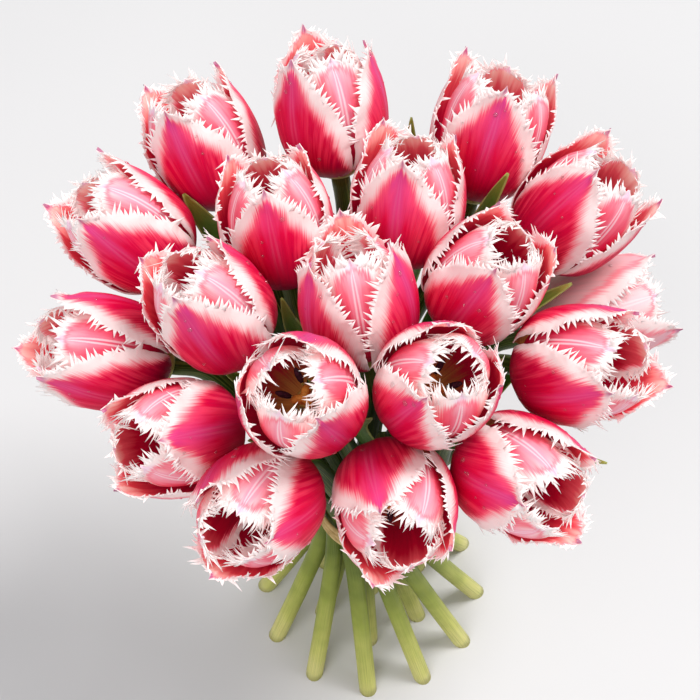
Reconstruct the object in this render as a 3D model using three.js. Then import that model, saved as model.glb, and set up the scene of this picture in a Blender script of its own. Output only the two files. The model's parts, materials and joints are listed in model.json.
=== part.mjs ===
// A hand-tied bunch of nineteen fringed tulips that stands on its splayed, cut stem ends.
// Units are millimetres and +Z is up.  Each flower has a stem node, which carries its pistil and
// stamens, and a bloom node of six fringed tepals.  Leaves stand between the blooms, and a band of
// raffia holds the stems at the waist.
import * as THREE from 'three';

// ---------------------------------------------------------------- driving dimensions

const WAIST_Z = 118; // height of the tie, where the bunch is narrowest
const WAIST_CENTRE = [10, 2]; // middle of the bunch at the tie
const FOOT_CENTRE = [12, 5]; // middle of the stem ends on the table
const STEM_PITCH = 9.86; // distance between neighbouring stems at the tie
const OUTER_RING = 1.95; // radius of the outer ring of stems, in pitches
const SPLAY_LENGTH = 40; // height over which the bunch widens by a factor of 1.4 from the tie
const FOOT_TWIST = 40; // degrees that the spiral turns from the tie down to the table
const HEAD_TWIST = -38; // degrees that the spiral turns from the tie up to the blooms
const FIRST_SLOT = 10; // compass direction of the first flower of each ring
const SPIRAL_HEIGHTS = [0, 44, 84, WAIST_Z, 150, 188]; // where the stems are set on the spiral
const NECK_LENGTH = 22; // the straight end of a stem under its bloom
const NECK_TOP = -3; // where the neck ends and the pistil begins, from the collar
const HEAD_Z = 260; // height where the spiral has its whole twist
const CURVE_STEP = 0.005; // part of a stem's length by which a leaf's root is looked for

const STEM_SIDES = 6;
const STEM_STEPS = SPIRAL_HEIGHTS.length + 1;
const STEM_FOOT_RADIUS = 4.8;
const STEM_WAIST_RADIUS = 4.6;
const STEM_NECK_RADIUS = 4.3;

// The pistil on top of the stem, as [height over the collar, radius, radius of every second side].
const PISTIL = [[4.5, 4.1, 4.1], [9, 3.4, 3.4], [21, 3.7, 3.7], [24.5, 2.4, 5.2], [27, 1.4, 1.4]];
// A stamen's places as [distance from the axis, height over the collar].
const STAMEN = { root: [3.5, 6.6], anther: [6.8, 15.5], tip: [13.5, 21.5] };
const FILAMENT_RADIUS = 0.8;
const ANTHER_RADIUS = 1.8;
// The section of the collar that the tepals grow from, as [distance from the axis, height].
const COLLAR_SECTION = [[6.3, -1.8], [9.0, -0.6], [6.5, 4.8]];

const BLOOM_LENGTH = 58; // from the collar to the tips of the tepals
const MOUTH_RADIUS = 20.8; // how far the outer tips stand from the axis on the profile below

const BAND_CLEARANCE = 1.6;
const BAND_THICKNESS = 2.4;
const BAND_HEIGHT = 13;
const BAND_EDGE = 1; // how far its outer edges are cut back
const BAND_SIDES = 30;

// Each flower: the middle of its bloom's base, how far the bloom leans from upright and toward
// which compass direction (0 is +X, 90 is +Y), its turn on its own axis, and its mouth radius.
// The centre flower comes first, then the inner ring of six, then the outer ring of twelve.
const FLOWERS = [
  { base: [7, -3, 261], lean: 18, toward: 117, turn: 101, mouth: 19.5 },

  { base: [47, 17, 264], lean: 19, toward: -15, turn: 13, mouth: 18 },
  { base: [24, 48, 263], lean: 15, toward: 81, turn: 54, mouth: 18.5 },
  { base: [-27, 40, 260], lean: 16, toward: 122, turn: 31, mouth: 18.5 },
  { base: [-45, 2, 261], lean: 24, toward: 176, turn: 99, mouth: 18.5 },
  { base: [-14, -36, 275], lean: 26, toward: -111, turn: 63, mouth: 18.5 },
  { base: [28, -29, 269], lean: 24, toward: -60, turn: 44, mouth: 18 },

  { base: [83, 29, 229], lean: 80, toward: 14, turn: 30, mouth: 21 },
  { base: [81, 51, 261], lean: 35, toward: 13, turn: 83, mouth: 22.5 },
  { base: [55, 82, 264], lean: 28, toward: 60, turn: 78, mouth: 24.5 },
  { base: [-5, 88, 275], lean: 21, toward: 111, turn: 2, mouth: 20 },
  { base: [-54, 83, 260], lean: 27, toward: 141, turn: 6, mouth: 21.5 },
  { base: [-76, 48, 254], lean: 42, toward: 171, turn: 118, mouth: 21.5 },
  { base: [-82, 7, 238], lean: 56, toward: -168, turn: 96, mouth: 20.5 },
  { base: [-55, -25, 237], lean: 50, toward: -138, turn: 19, mouth: 19 },
  { base: [-26, -55, 245], lean: 54, toward: -116, turn: 114, mouth: 19.5 },
  { base: [16, -48, 244], lean: 60, toward: -86, turn: 84, mouth: 20 },
  { base: [54, -40, 241], lean: 56, toward: -53, turn: 118, mouth: 21 },
  { base: [76, -3, 252], lean: 49, toward: -32, turn: 17, mouth: 21 },
];
const INNER_RING_COUNT = 6;
const OUTER_RING_COUNT = 12;

// A tepal's midline as [distance from the axis, height over the collar], its greatest half width,
// where along its length it is widest, how full its outline is below and above that place, how far
// its side edges draw in toward the axis, its fringe, and how far its one edge stands out and its
// other edge in.  Of the fringe: how many teeth a side, their length, and how far those of each
// side and the crest lean outward.
const OUTER_TEPAL = {
  profile: [[8.0, 0.8], [16, 5.0], [22.8, 14], [24.9, 27], [24.2, 40], [21.8, 51], [20.6, 60]],
  halfWidth: 24.2,
  widest: 0.43,
  fullness: 0.72,
  crestFullness: 0.85,
  edgeDraw: 0.5,
  teeth: 5,
  toothLength: 5.0,
  toothLean: [0.8, 0.8],
  crestLean: 0.8,
  pinwheel: 0.9,
};
const INNER_TEPAL = {
  profile: [[7.0, 3.0], [13.4, 7.8], [19.4, 16], [21.5, 28], [20.6, 41], [17.2, 50.5], [13.0, 56.5]],
  halfWidth: 18.2,
  widest: 0.57,
  fullness: 0.5,
  crestFullness: 0.5,
  edgeDraw: 2.6,
  teeth: 4,
  toothLength: 5.0,
  toothLean: [-0.3, -2.0],
  crestLean: -2.2,
  pinwheel: 1.0,
};
const ROOT_HALF_WIDTH = 2.2; // of every tepal where it leaves the collar
const SHOULDER = 0.2; // part of a tepal's length where it has its first full width
const TEPAL_THICKNESS = 1.3;
const FRINGE_START = 0.42; // where the lowest tooth stands, as a part of the tepal's length
const FRINGE_END = 0.96;
const TOOTH_PLACE = 0.6; // where a tooth stands between its two notches
const TOOTH_RISE = [0, 8]; // degrees that teeth turn up from the ray out of the blade's core
const TOOTH_REACH = [0.8, 1.3]; // how long one tooth may be, in times its kind's length
const TOOTH_LEAN = [0.6, 1.4]; // how far one tooth may lean, in times its kind's lean
const TEPAL_SPREAD = { turn: 1.5, mouth: 0.5, height: 1.6 }; // how much one tepal may differ

// Each leaf: the number of the stem it grows on, the height where it leaves that stem, the points
// that its midrib passes on the way to its tip, its greatest width, and the way its face looks.
const LEAVES = [
  { stem: 13, height: 178, width: 20, face: [-0.3, -0.7, 0.7],
    midrib: [[-36, 36, 212], [-46, 50, 235], [-55, 59, 254], [-65, 63, 271], [-73, 65, 286]] },
  { stem: 10, height: 174, width: 13, face: [0, -0.9, 0.4],
    midrib: [[12, 46, 205], [18, 62, 230], [24, 81, 258], [27, 92, 280], [27, 97, 300]] },
  { stem: 9, height: 174, width: 15, face: [0.2, -0.9, 0.5],
    midrib: [[35, 41, 205], [49, 53, 230], [54, 59, 256], [60, 61, 282], [68, 65, 300]] },
  { stem: 18, height: 178, width: 12, face: [-0.3, 0.4, 0.9],
    midrib: [[46, -14, 205], [64, -28, 224], [78, -36, 236], [91, -44, 246], [106, -52, 255]] },
  { stem: 5, height: 172, width: 13, face: [0.4, -0.8, 0.4],
    midrib: [[-8, 7, 205], [-14, 10, 228], [-21, 12, 248], [-26, 12, 265], [-29, 13, 281]] },
  { stem: 2, height: 174, width: 12, face: [-0.4, -0.3, 0.9],
    midrib: [[44, 7, 208], [51, 13, 230], [60, 16, 248], [76, 20, 262], [96, 27, 272]] },
  { stem: 16, height: 164, width: 12, face: [0.5, 0.4, 0.8],
    midrib: [[-13, -29, 200], [-24, -31, 221], [-33, -33, 238], [-38, -38, 249], [-42, -43, 258]] },
  { stem: 7, height: 168, width: 13, face: [0.3, 0.6, 0.8],
    midrib: [[9, -17, 205], [5, -24, 228], [3, -31, 249], [6, -36, 262], [9, -40, 272]] },
  { stem: 18, height: 160, width: 14, face: [-0.2, 0.6, 0.8],
    midrib: [[29, -25, 205], [31, -29, 226], [33, -35, 242], [35, -40, 251], [36, -45, 259]] },
  { stem: 2, height: 160, width: 17, face: [-0.6, 0.2, 0.8],
    midrib: [[35, -5, 202], [44, -8, 228], [54, -9, 249], [59, -10, 260], [64, -11, 271]] },
  { stem: 12, height: 172, width: 16, face: [0.2, 0.8, 0.5],
    midrib: [[-12, 37, 196], [-18, 54, 218], [-24, 70, 240], [-28, 83, 261], [-30, 93, 280]] },
  { stem: 10, height: 165, width: 13, face: [0.8, -0.7, 0.3],
    midrib: [[16, 50, 192], [21, 56, 206], [27, 62, 220], [32, 66, 234], [35, 69, 248]] },
  { stem: 8, height: 165, width: 13, face: [-0.3, -0.4, 0.9],
    midrib: [[50, 2, 190], [58, 6, 204], [66, 9, 217], [74, 10, 229], [80, 9, 239]] },
  { stem: 14, height: 165, width: 12, face: [0.4, -0.2, 0.9],
    midrib: [[-25, 1, 190], [-32, 2, 205], [-41, 3, 218], [-49, 4, 229], [-56, 3, 240]] },
];
const LEAF_THICKNESS = 1.2;
const LEAF_FOLD = 2.2; // how deep the channel along the midrib is
const LEAF_ROWS = 6;
const LEAF_GAP = 1.2; // between a leaf's root and the stem that it clasps
const LEAF_CLASP = { along: 12, aside: 2 }; // how far a leaf follows its stem before it leaves it
const LEAF_ROOT_HALF_WIDTH = 1.4;
const LEAF_ROOT_SHARE = 0.4; // part of the length over which a leaf grows to its full width
const LEAF_BEND = 0.8; // under 1, so that a leaf is widest below its middle
const LEAF_FULLNESS = 0.7; // under 1, so that its sides are nearly parallel
const LEAF_FIRST_ROW = 0.35; // where the first section stands, in rows

// ---------------------------------------------------------------- small helpers

const radians = THREE.MathUtils.degToRad;

const CHANCE = { spread: 7919, start: 12345, factor: 48271, range: 2147483647 };

/** A repeatable run of numbers from 0 to 1 for one flower. */
function numberSource(seed) {
  let state = (seed * CHANCE.spread + CHANCE.start) % CHANCE.range;
  return () => {
    state = (state * CHANCE.factor) % CHANCE.range;
    return state / CHANCE.range;
  };
}

/** A closed skin that is put together from points and triangles, counterclockwise from outside. */
class Skin {
  points = [];

  triangles = [];

  /** Adds points and gives back their numbers. */
  add(points) {
    const start = this.points.length;
    this.points.push(...points);
    return points.map((_, step) => start + step);
  }

  /** Four-cornered faces all the way round between two rings, each split in two. */
  band(lower, upper) {
    lower.forEach((corner, side) => this.facet(lower, upper, side));
  }

  /** One of those faces. */
  facet(lower, upper, side) {
    const next = (side + 1) % lower.length;
    this.triangles.push([lower[side], lower[next], upper[next]], [lower[side], upper[next], upper[side]]);
  }

  /** A flat end over a ring, seen from outside as counterclockwise. */
  cap(ring) {
    for (let side = 1; side + 1 < ring.length; side += 1) {
      this.triangles.push([ring[0], ring[side], ring[side + 1]]);
    }
  }

  /** A four-cornered face round a hole.  The hole's first corner is between the frame's first two. */
  window(frame, hole) {
    let outer = 0;
    let inner = 0;
    while (outer < frame.length || inner < hole.length) {
      const outerGoes = (outer + 1) / frame.length <= 0.5 / frame.length + (inner + 1) / hole.length;
      const from = frame[outer % frame.length];
      const held = hole[inner % hole.length];
      if (outer < frame.length && (outerGoes || inner === hole.length)) {
        this.triangles.push([from, frame[(outer + 1) % frame.length], held]);
        outer += 1;
      } else {
        this.triangles.push([from, hole[(inner + 1) % hole.length], held]);
        inner += 1;
      }
    }
  }

  /** The skin as a geometry, placed by a matrix. */
  geometry(matrix = new THREE.Matrix4()) {
    const geometry = new THREE.BufferGeometry();
    const numbers = this.points.flatMap((point) => point.toArray());
    geometry.setAttribute('position', new THREE.Float32BufferAttribute(numbers, 3));
    geometry.setIndex(this.triangles.flat());
    geometry.applyMatrix4(matrix);
    geometry.computeVertexNormals();
    return geometry;
  }
}

/** A point at a compass direction in radians, a distance from the axis and a height. */
function polar(angle, out, height) {
  return new THREE.Vector3(out * Math.cos(angle), out * Math.sin(angle), height);
}

// ---------------------------------------------------------------- where a flower stands

/** The placement of a flower's bloom: its axis is +Z, and its first outer tepal faces +X. */
function bloomMatrix(flower) {
  const turn = new THREE.Matrix4().makeRotationZ(radians(flower.turn));
  const lean = new THREE.Matrix4().makeRotationY(radians(flower.lean));
  const toward = new THREE.Matrix4().makeRotationZ(radians(flower.toward));
  const place = new THREE.Matrix4().makeTranslation(...flower.base);
  return place.multiply(toward).multiply(lean).multiply(turn);
}

/** A flower's place in the bundle at the tie: distance from the middle, and compass direction. */
function bundleSlot(index) {
  if (index === 0) {
    return { radius: 0, angle: 0 };
  }
  if (index <= INNER_RING_COUNT) {
    const step = 360 / INNER_RING_COUNT;
    return { radius: STEM_PITCH, angle: FIRST_SLOT + step * (index - 1) - HEAD_TWIST };
  }
  const step = 360 / OUTER_RING_COUNT;
  const place = index - 1 - INNER_RING_COUNT;
  return { radius: STEM_PITCH * OUTER_RING, angle: FIRST_SLOT + step * place - HEAD_TWIST };
}

/** The middle of the bunch at a height: straight from the foot through the tie and on up. */
function bunchCentre(z) {
  const share = z / WAIST_Z;
  return [0, 1].map((axis) => THREE.MathUtils.lerp(FOOT_CENTRE[axis], WAIST_CENTRE[axis], share));
}

/** A stem's point at a height, on the spiral that every stem of the bunch shares. */
function spiralPoint(index, z) {
  const slot = bundleSlot(index);
  const rise = (z - WAIST_Z) / SPLAY_LENGTH;
  const fullTurn = Math.atan((z < WAIST_Z ? WAIST_Z : HEAD_Z - WAIST_Z) / SPLAY_LENGTH);
  const twist = (z < WAIST_Z ? FOOT_TWIST : HEAD_TWIST) * Math.abs(Math.atan(rise)) / fullTurn;
  const angle = radians(slot.angle + twist);
  const radius = slot.radius * Math.sqrt(1 + rise * rise);
  const [x, y] = bunchCentre(z);
  return new THREE.Vector3(x + radius * Math.cos(angle), y + radius * Math.sin(angle), z);
}

// ---------------------------------------------------------------- stems

/** The stem's middle line from the table to the bloom's collar. */
function stemCurve(index) {
  const matrix = bloomMatrix(FLOWERS[index]);
  const onAxis = (height) => new THREE.Vector3(0, 0, height).applyMatrix4(matrix);
  const spiral = SPIRAL_HEIGHTS.map((z) => spiralPoint(index, z));
  const neck = [onAxis(-NECK_LENGTH), onAxis(NECK_TOP)];
  return new THREE.CatmullRomCurve3([...spiral, ...neck], false, 'centripetal');
}

/** A ring of points round a place, square to a direction, counted from a direction aside. */
function ringAround(centre, direction, aside, radii) {
  const tangent = direction.clone().normalize();
  const side = aside.clone().addScaledVector(tangent, -aside.dot(tangent)).normalize();
  const other = tangent.clone().cross(side);
  return radii.map((radius, step) => {
    const angle = (2 * Math.PI * step) / radii.length;
    return centre.clone()
      .addScaledVector(side, radius * Math.cos(angle))
      .addScaledVector(other, radius * Math.sin(angle));
  });
}

/** The same ring slid along its direction until it lies flat on the table. */
function cutFlat(ring, direction) {
  return ring.map((point) => point.clone().addScaledVector(direction, -point.z / direction.z).setZ(0));
}

/** One stamen on a face of the pistil's foot: a filament that widens to an anther, then a point. */
function addStamen(skin, frame, angle, matrix) {
  const at = ([out, height]) => polar(angle, out, height).applyMatrix4(matrix);
  const along = at(STAMEN.tip).sub(at(STAMEN.root));
  const down = new THREE.Vector3(0, 0, -1).transformDirection(matrix);
  const ring = (place, radius) => skin.add(ringAround(at(place), along, down, [radius, radius, radius]));
  const root = ring(STAMEN.root, FILAMENT_RADIUS);
  const anther = ring(STAMEN.anther, ANTHER_RADIUS);
  const [tip] = skin.add([at(STAMEN.tip)]);
  skin.window(frame, root);
  skin.band(root, anther);
  anther.forEach((corner, side) => skin.triangles.push([corner, anther[(side + 1) % anther.length], tip]));
}

/** A whole stem node: the stem, the pistil that tops it with a three-lobed stigma, and six stamens. */
function stemGeometry(index) {
  const matrix = bloomMatrix(FLOWERS[index]);
  const axis = new THREE.Vector3(0, 0, 1).transformDirection(matrix);
  const aside = new THREE.Vector3(1, 0, 0).transformDirection(matrix);
  const curve = stemCurve(index);
  const skin = new Skin();
  const rings = [];
  for (let step = 0; step <= STEM_STEPS; step += 1) {
    const share = step / STEM_STEPS;
    const radius = THREE.MathUtils.lerp(STEM_FOOT_RADIUS, STEM_NECK_RADIUS, share);
    const tangent = curve.getTangent(share);
    const ring = ringAround(curve.getPoint(share), tangent, aside, Array(STEM_SIDES).fill(radius));
    rings.push(skin.add(step === 0 ? cutFlat(ring, tangent) : ring));
  }
  for (const [height, radius, lobe] of PISTIL) {
    const radii = Array.from({ length: STEM_SIDES }, (_, side) => (side % 2 === 0 ? lobe : radius));
    const middle = new THREE.Vector3(0, 0, height).applyMatrix4(matrix);
    rings.push(skin.add(ringAround(middle, axis, aside, radii)));
  }
  const foot = STEM_STEPS + 1; // the ring below the stamens
  rings.slice(1).forEach((upper, step) => {
    const lower = rings[step];
    if (step !== foot) {
      skin.band(lower, upper);
      return;
    }
    lower.forEach((corner, side) => {
      const next = (side + 1) % STEM_SIDES;
      const angle = (2 * Math.PI * (side + 0.5)) / STEM_SIDES;
      addStamen(skin, [corner, lower[next], upper[next], upper[side]], angle, matrix);
    });
  });
  skin.cap([...rings[0]].reverse());
  skin.cap(rings.at(-1));
  return skin.geometry();
}

// ---------------------------------------------------------------- tepals

/** The curved sheet that a tepal lies on, for one tepal with its own small differences. */
class TepalSheet {
  constructor(kind, mouth, reach) {
    this.kind = kind;
    this.midline = new THREE.SplineCurve(kind.profile.map(([out, height]) => {
      const share = height / BLOOM_LENGTH;
      const opened = out + (mouth - MOUTH_RADIUS) * share * share;
      return new THREE.Vector2(opened, height * (1 + (reach / BLOOM_LENGTH) * share));
    }));
    this.length = this.midline.getLength();
  }

  /** Half the width at a part of the length. */
  halfWidth(share) {
    const bend = Math.log(0.5) / Math.log(this.kind.widest);
    const wave = Math.sin(Math.PI * THREE.MathUtils.clamp(share, 0, 1) ** bend);
    const power = share < this.kind.widest ? this.kind.fullness : this.kind.crestFullness;
    return this.kind.halfWidth * Math.max(wave, 0) ** power;
  }

  /** The point a distance aside of the midline, a distance along it and a distance off it. */
  point([aside, along, off]) {
    const share = THREE.MathUtils.clamp(along / this.length, 0, 1);
    const middle = this.midline.getPointAt(share);
    const heading = this.midline.getTangentAt(share);
    const beyond = along - share * this.length;
    const across = Math.abs(aside) / this.kind.halfWidth;
    const draw = this.kind.edgeDraw * across * across - this.kind.pinwheel * (aside / this.kind.halfWidth);
    const out = middle.x + heading.x * beyond - draw + heading.y * off;
    const height = middle.y + heading.y * beyond - heading.x * off;
    return polar(aside / middle.x, out, height);
  }
}

// The points of a tepal that stand in pairs, one on each face: [part of the half width aside of
// the midline, part of the length].  The first is at the root, and the first six ring the last two.
const CORE = [[0, 0], [0.5, 0.3], [0.5, 0.56], [0, 0.8], [-0.5, 0.56], [-0.5, 0.3], [0, 0.2], [0, 0.48]];
const CORE_RING = 6;
const CORE_FILL = [[0, 1, 6], [1, 7, 6], [1, 2, 7], [2, 3, 7], [3, 4, 7], [4, 5, 7], [5, 6, 7], [5, 0, 6]];
const CORE_REACH = [0.12, 0.6, 0.93]; // parts of the length where the outline turns to the next core point

/** The tip of a tooth: it stands on the edge, in line with the core point that its place hangs on. */
function toothTip(sheet, side, share, reach, rise) {
  const edge = new THREE.Vector2(side * sheet.halfWidth(share), share * sheet.length);
  const [coreAside, coreShare] = CORE[coreOf([side, 0, 0, share])];
  const core = new THREE.Vector2(coreAside * sheet.halfWidth(coreShare), coreShare * sheet.length);
  return edge.clone().sub(core).setLength(reach).rotateAround(new THREE.Vector2(), side * rise).add(edge);
}

/**
 * The outline of one side of a tepal, from its root to the last notch below the tip.  Each place is
 * [distance aside, distance along, distance off, part of the length that it belongs to].
 */
function sideOutline(sheet, side, random) {
  const { kind, length } = sheet;
  const edge = (share) => [side * sheet.halfWidth(share), share * length, 0, share];
  const outline = [[side * ROOT_HALF_WIDTH, 0, 0, 0], edge(SHOULDER)];
  const pitch = (FRINGE_END - FRINGE_START) / kind.teeth;
  const fullLean = kind.toothLean[side > 0 ? 0 : 1];
  for (let tooth = 0; tooth < kind.teeth; tooth += 1) {
    const share = FRINGE_START + pitch * tooth;
    const rise = radians(THREE.MathUtils.lerp(...TOOTH_RISE, random()));
    const reach = kind.toothLength * THREE.MathUtils.lerp(...TOOTH_REACH, random());
    const lean = fullLean * THREE.MathUtils.lerp(...TOOTH_LEAN, random());
    const place = share + TOOTH_PLACE * pitch;
    outline.push(edge(share), [...toothTip(sheet, side, place, reach, rise).toArray(), lean, place]);
  }
  outline.push(edge(FRINGE_END));
  return outline;
}

/** The core point that an outline point hangs on. */
function coreOf([aside, , , share]) {
  const step = CORE_REACH.filter((reach) => share > reach).length;
  return aside >= 0 ? step : (CORE_RING - step) % CORE_RING;
}

/**
 * One fringed tepal: a thin blade with knife edges, split into triangles alike on both faces.  It is
 * closed but for its root, whose four corners fill the hole in its face of the collar.
 */
function addTepal(skin, frame, sheet, turn, random) {
  const { kind, length } = sheet;
  const crest = [0, length + kind.toothLength, kind.crestLean, 1];
  const outline = [...sideOutline(sheet, 1, random), crest, ...sideOutline(sheet, -1, random).reverse()];
  const placed = (place) => sheet.point(place).applyAxisAngle(new THREE.Vector3(0, 0, 1), turn);
  const core = (off) => skin.add(CORE.map(([aside, share]) => (
    placed([aside * sheet.halfWidth(share), share * length, off]))));
  const rim = skin.add(outline.map(placed));
  const front = core(TEPAL_THICKNESS / 2);
  const back = core(-TEPAL_THICKNESS / 2);
  for (const [a, b, c] of CORE_FILL) {
    skin.triangles.push([front[a], front[b], front[c]], [back[a], back[c], back[b]]);
  }
  outline.slice(1).forEach((nextPlace, here) => {
    const next = here + 1;
    const held = coreOf(outline[here]);
    const nextHeld = coreOf(nextPlace);
    const [hub, corner] = nextPlace[0] < 0 ? [nextHeld, rim[here]] : [held, rim[next]];
    skin.triangles.push([rim[here], rim[next], front[hub]], [rim[here], back[hub], rim[next]]);
    if (nextHeld !== held) {
      skin.triangles.push([corner, front[nextHeld], front[held]], [corner, back[held], back[nextHeld]]);
    }
  });
  skin.window(frame, [front[0], rim[0], back[0], rim.at(-1)]);
}

/** A whole bloom: a six-sided collar with an outer or an inner tepal on each of its sides. */
function bloomGeometry(index) {
  const flower = FLOWERS[index];
  const random = numberSource(index + 1);
  const vary = (amount) => amount * (2 * random() - 1);
  const skin = new Skin();
  const corners = [0, 1, 2, 3, 4, 5].map((side) => radians(60 * side - 30));
  const [bottom, ridge, top] = COLLAR_SECTION.map(([out, height]) => (
    skin.add(corners.map((angle) => polar(angle, out, height)))));
  skin.band(bottom, ridge);
  skin.band(top, bottom);
  corners.forEach((corner, side) => {
    const next = (side + 1) % corners.length;
    const kind = side % 2 === 0 ? OUTER_TEPAL : INNER_TEPAL;
    const sheet = new TepalSheet(kind, flower.mouth + vary(TEPAL_SPREAD.mouth), vary(TEPAL_SPREAD.height));
    const turn = radians(60 * side + vary(TEPAL_SPREAD.turn));
    addTepal(skin, [ridge[side], ridge[next], top[next], top[side]], sheet, turn, random);
  });
  return skin.geometry(bloomMatrix(flower));
}

// ---------------------------------------------------------------- leaves

/** The midrib of a leaf, from the side of its stem to its tip. */
function midribCurve(leaf) {
  const stem = stemCurve(leaf.stem - 1);
  let share = 0;
  while (stem.getPointAt(share).z < leaf.height) {
    share += CURVE_STEP;
  }
  const onStem = stem.getPointAt(share);
  const along = stem.getTangentAt(share);
  const goal = new THREE.Vector3(...leaf.midrib[0]);
  const aside = goal.clone().sub(onStem);
  aside.addScaledVector(along, -aside.dot(along)).normalize();
  const root = onStem.clone().addScaledVector(aside, STEM_WAIST_RADIUS + LEAF_GAP);
  const clasp = root.clone().addScaledVector(along, LEAF_CLASP.along);
  clasp.addScaledVector(aside, LEAF_CLASP.aside);
  return new THREE.CatmullRomCurve3([
    root, clasp, ...leaf.midrib.map((place) => new THREE.Vector3(...place)),
  ], false, 'centripetal');
}

/**
 * One leaf: a long blade with a channel along its midrib, knife edges and a pointed tip.  Its upper
 * and lower faces are split into triangles alike.
 */
function leafGeometry(leaf) {
  const curve = midribCurve(leaf);
  const face = new THREE.Vector3(...leaf.face);
  const skin = new Skin();
  const [root, tip] = skin.add([curve.getPointAt(0), curve.getPointAt(1)]);
  const columns = [[root], [root], [root], [root]];
  for (let row = 0; row < LEAF_ROWS; row += 1) {
    const share = (row + LEAF_FIRST_ROW) / LEAF_ROWS;
    const middle = curve.getPointAt(share);
    const tangent = curve.getTangentAt(share);
    const across = tangent.clone().cross(face).normalize();
    const normal = across.clone().cross(tangent).normalize();
    const grown = THREE.MathUtils.smoothstep(share, 0, LEAF_ROOT_SHARE);
    const full = (leaf.width / 2) * Math.sin(Math.PI * share ** LEAF_BEND) ** LEAF_FULLNESS;
    const half = THREE.MathUtils.lerp(LEAF_ROOT_HALF_WIDTH, full, grown);
    const depth = (LEAF_FOLD * 2 * half) / leaf.width;
    const place = (aside, off) => (
      middle.clone().addScaledVector(across, aside).addScaledVector(normal, off));
    const section = [
      place(-half, 0), place(0, LEAF_THICKNESS / 2 - depth),
      place(half, 0), place(0, -LEAF_THICKNESS / 2 - depth),
    ];
    skin.add(section).forEach((corner, column) => columns[column].push(corner));
  }
  columns.forEach((column, side) => {
    const beside = columns[(side + 1) % columns.length];
    const upper = side < 2;
    skin.triangles.push([root, beside[1], column[1]], [column.at(-1), beside.at(-1), tip]);
    for (let row = 1; row < LEAF_ROWS; row += 1) {
      const [low, nextLow, high, nextHigh] = [column[row], beside[row], column[row + 1], beside[row + 1]];
      skin.triangles.push([low, nextLow, upper ? nextHigh : high], [upper ? low : nextLow, nextHigh, high]);
    }
  });
  return skin.geometry();
}

// ---------------------------------------------------------------- the tie

/** The raffia band round the waist, a flat ring with rounded edges. */
function bandGeometry() {
  const inside = STEM_PITCH * OUTER_RING + STEM_WAIST_RADIUS + BAND_CLEARANCE;
  const outside = inside + BAND_THICKNESS;
  const half = BAND_HEIGHT / 2;
  const flat = half - BAND_EDGE;
  const section = [[inside, -half], [outside, -flat], [outside, flat], [inside, half], [inside, -half]];
  return new THREE.LatheGeometry(section.map(([out, height]) => new THREE.Vector2(out, height)), BAND_SIDES)
    .rotateX(Math.PI / 2)
    .translate(WAIST_CENTRE[0], WAIST_CENTRE[1], WAIST_Z);
}

// ---------------------------------------------------------------- the bunch

/** A named mesh with its own material. */
function piece(name, geometry, color, roughness) {
  const mesh = new THREE.Mesh(geometry, new THREE.MeshStandardMaterial({ color, roughness, metalness: 0 }));
  mesh.name = name;
  return mesh;
}

const bunch = new THREE.Group();
FLOWERS.forEach((flower, index) => {
  const number = String(index + 1).padStart(2, '0');
  bunch.add(piece(`stem_${number}`, stemGeometry(index), 0x9db04e, 0.55));
  bunch.add(piece(`bloom_${number}`, bloomGeometry(index), 0xd2274f, 0.45));
});
LEAVES.forEach((leaf, index) => {
  bunch.add(piece(`leaf_${String(index + 1).padStart(2, '0')}`, leafGeometry(leaf), 0x55793a, 0.5));
});
bunch.add(piece('tie', bandGeometry(), 0xc9b27a, 0.85));

// The origin is on the table, in the middle of the bunch's own box.
const box = new THREE.Box3().setFromObject(bunch);
const middle = box.getCenter(new THREE.Vector3());
bunch.position.set(-middle.x, -middle.y, -box.min.z);
bunch.updateMatrixWorld(true);

export default bunch;
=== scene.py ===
"""A hand-tied bunch of fringed tulips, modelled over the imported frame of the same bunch.

Every piece is made in millimetres in the bunch's own coordinates and ends in metres in the frame.
"""

from __future__ import annotations

import logging
import math
import random
from dataclasses import dataclass
from enum import Enum, IntEnum
from functools import lru_cache

import bmesh
import bpy
import numpy as np
from bmesh.types import BMEdge, BMesh, BMLayerItem, BMVert
from bpy.types import ID, Material, Mesh, MeshPolygon, Node, NodeSocket, NodeTree, Object
from mathutils import Matrix, Vector
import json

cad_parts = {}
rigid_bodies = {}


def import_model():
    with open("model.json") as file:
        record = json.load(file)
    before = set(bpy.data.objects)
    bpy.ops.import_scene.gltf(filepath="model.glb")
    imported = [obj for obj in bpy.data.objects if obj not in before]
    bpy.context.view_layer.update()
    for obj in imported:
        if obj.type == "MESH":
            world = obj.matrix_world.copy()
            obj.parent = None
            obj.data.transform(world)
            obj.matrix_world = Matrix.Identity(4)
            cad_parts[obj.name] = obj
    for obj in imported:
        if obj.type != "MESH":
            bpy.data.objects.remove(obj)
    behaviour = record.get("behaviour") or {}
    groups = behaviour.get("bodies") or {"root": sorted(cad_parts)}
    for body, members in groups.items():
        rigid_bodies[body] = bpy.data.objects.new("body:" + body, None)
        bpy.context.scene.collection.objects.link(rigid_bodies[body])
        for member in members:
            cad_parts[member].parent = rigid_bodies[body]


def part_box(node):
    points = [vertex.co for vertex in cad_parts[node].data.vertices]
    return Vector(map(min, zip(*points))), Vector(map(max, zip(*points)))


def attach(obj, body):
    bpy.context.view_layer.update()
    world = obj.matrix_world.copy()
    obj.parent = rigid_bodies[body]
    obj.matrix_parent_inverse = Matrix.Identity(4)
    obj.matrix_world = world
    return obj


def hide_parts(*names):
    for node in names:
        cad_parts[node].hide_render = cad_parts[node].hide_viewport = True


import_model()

LOG = logging.getLogger("tulips")

MM = 0.001
BODY = "root"
FULL_TURN = 2.0 * math.pi
CLOSE = 1e-4

Pair = tuple[float, float]
Place = tuple[float, float, float]

# ---- sizes of the whole bunch, in mm

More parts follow.
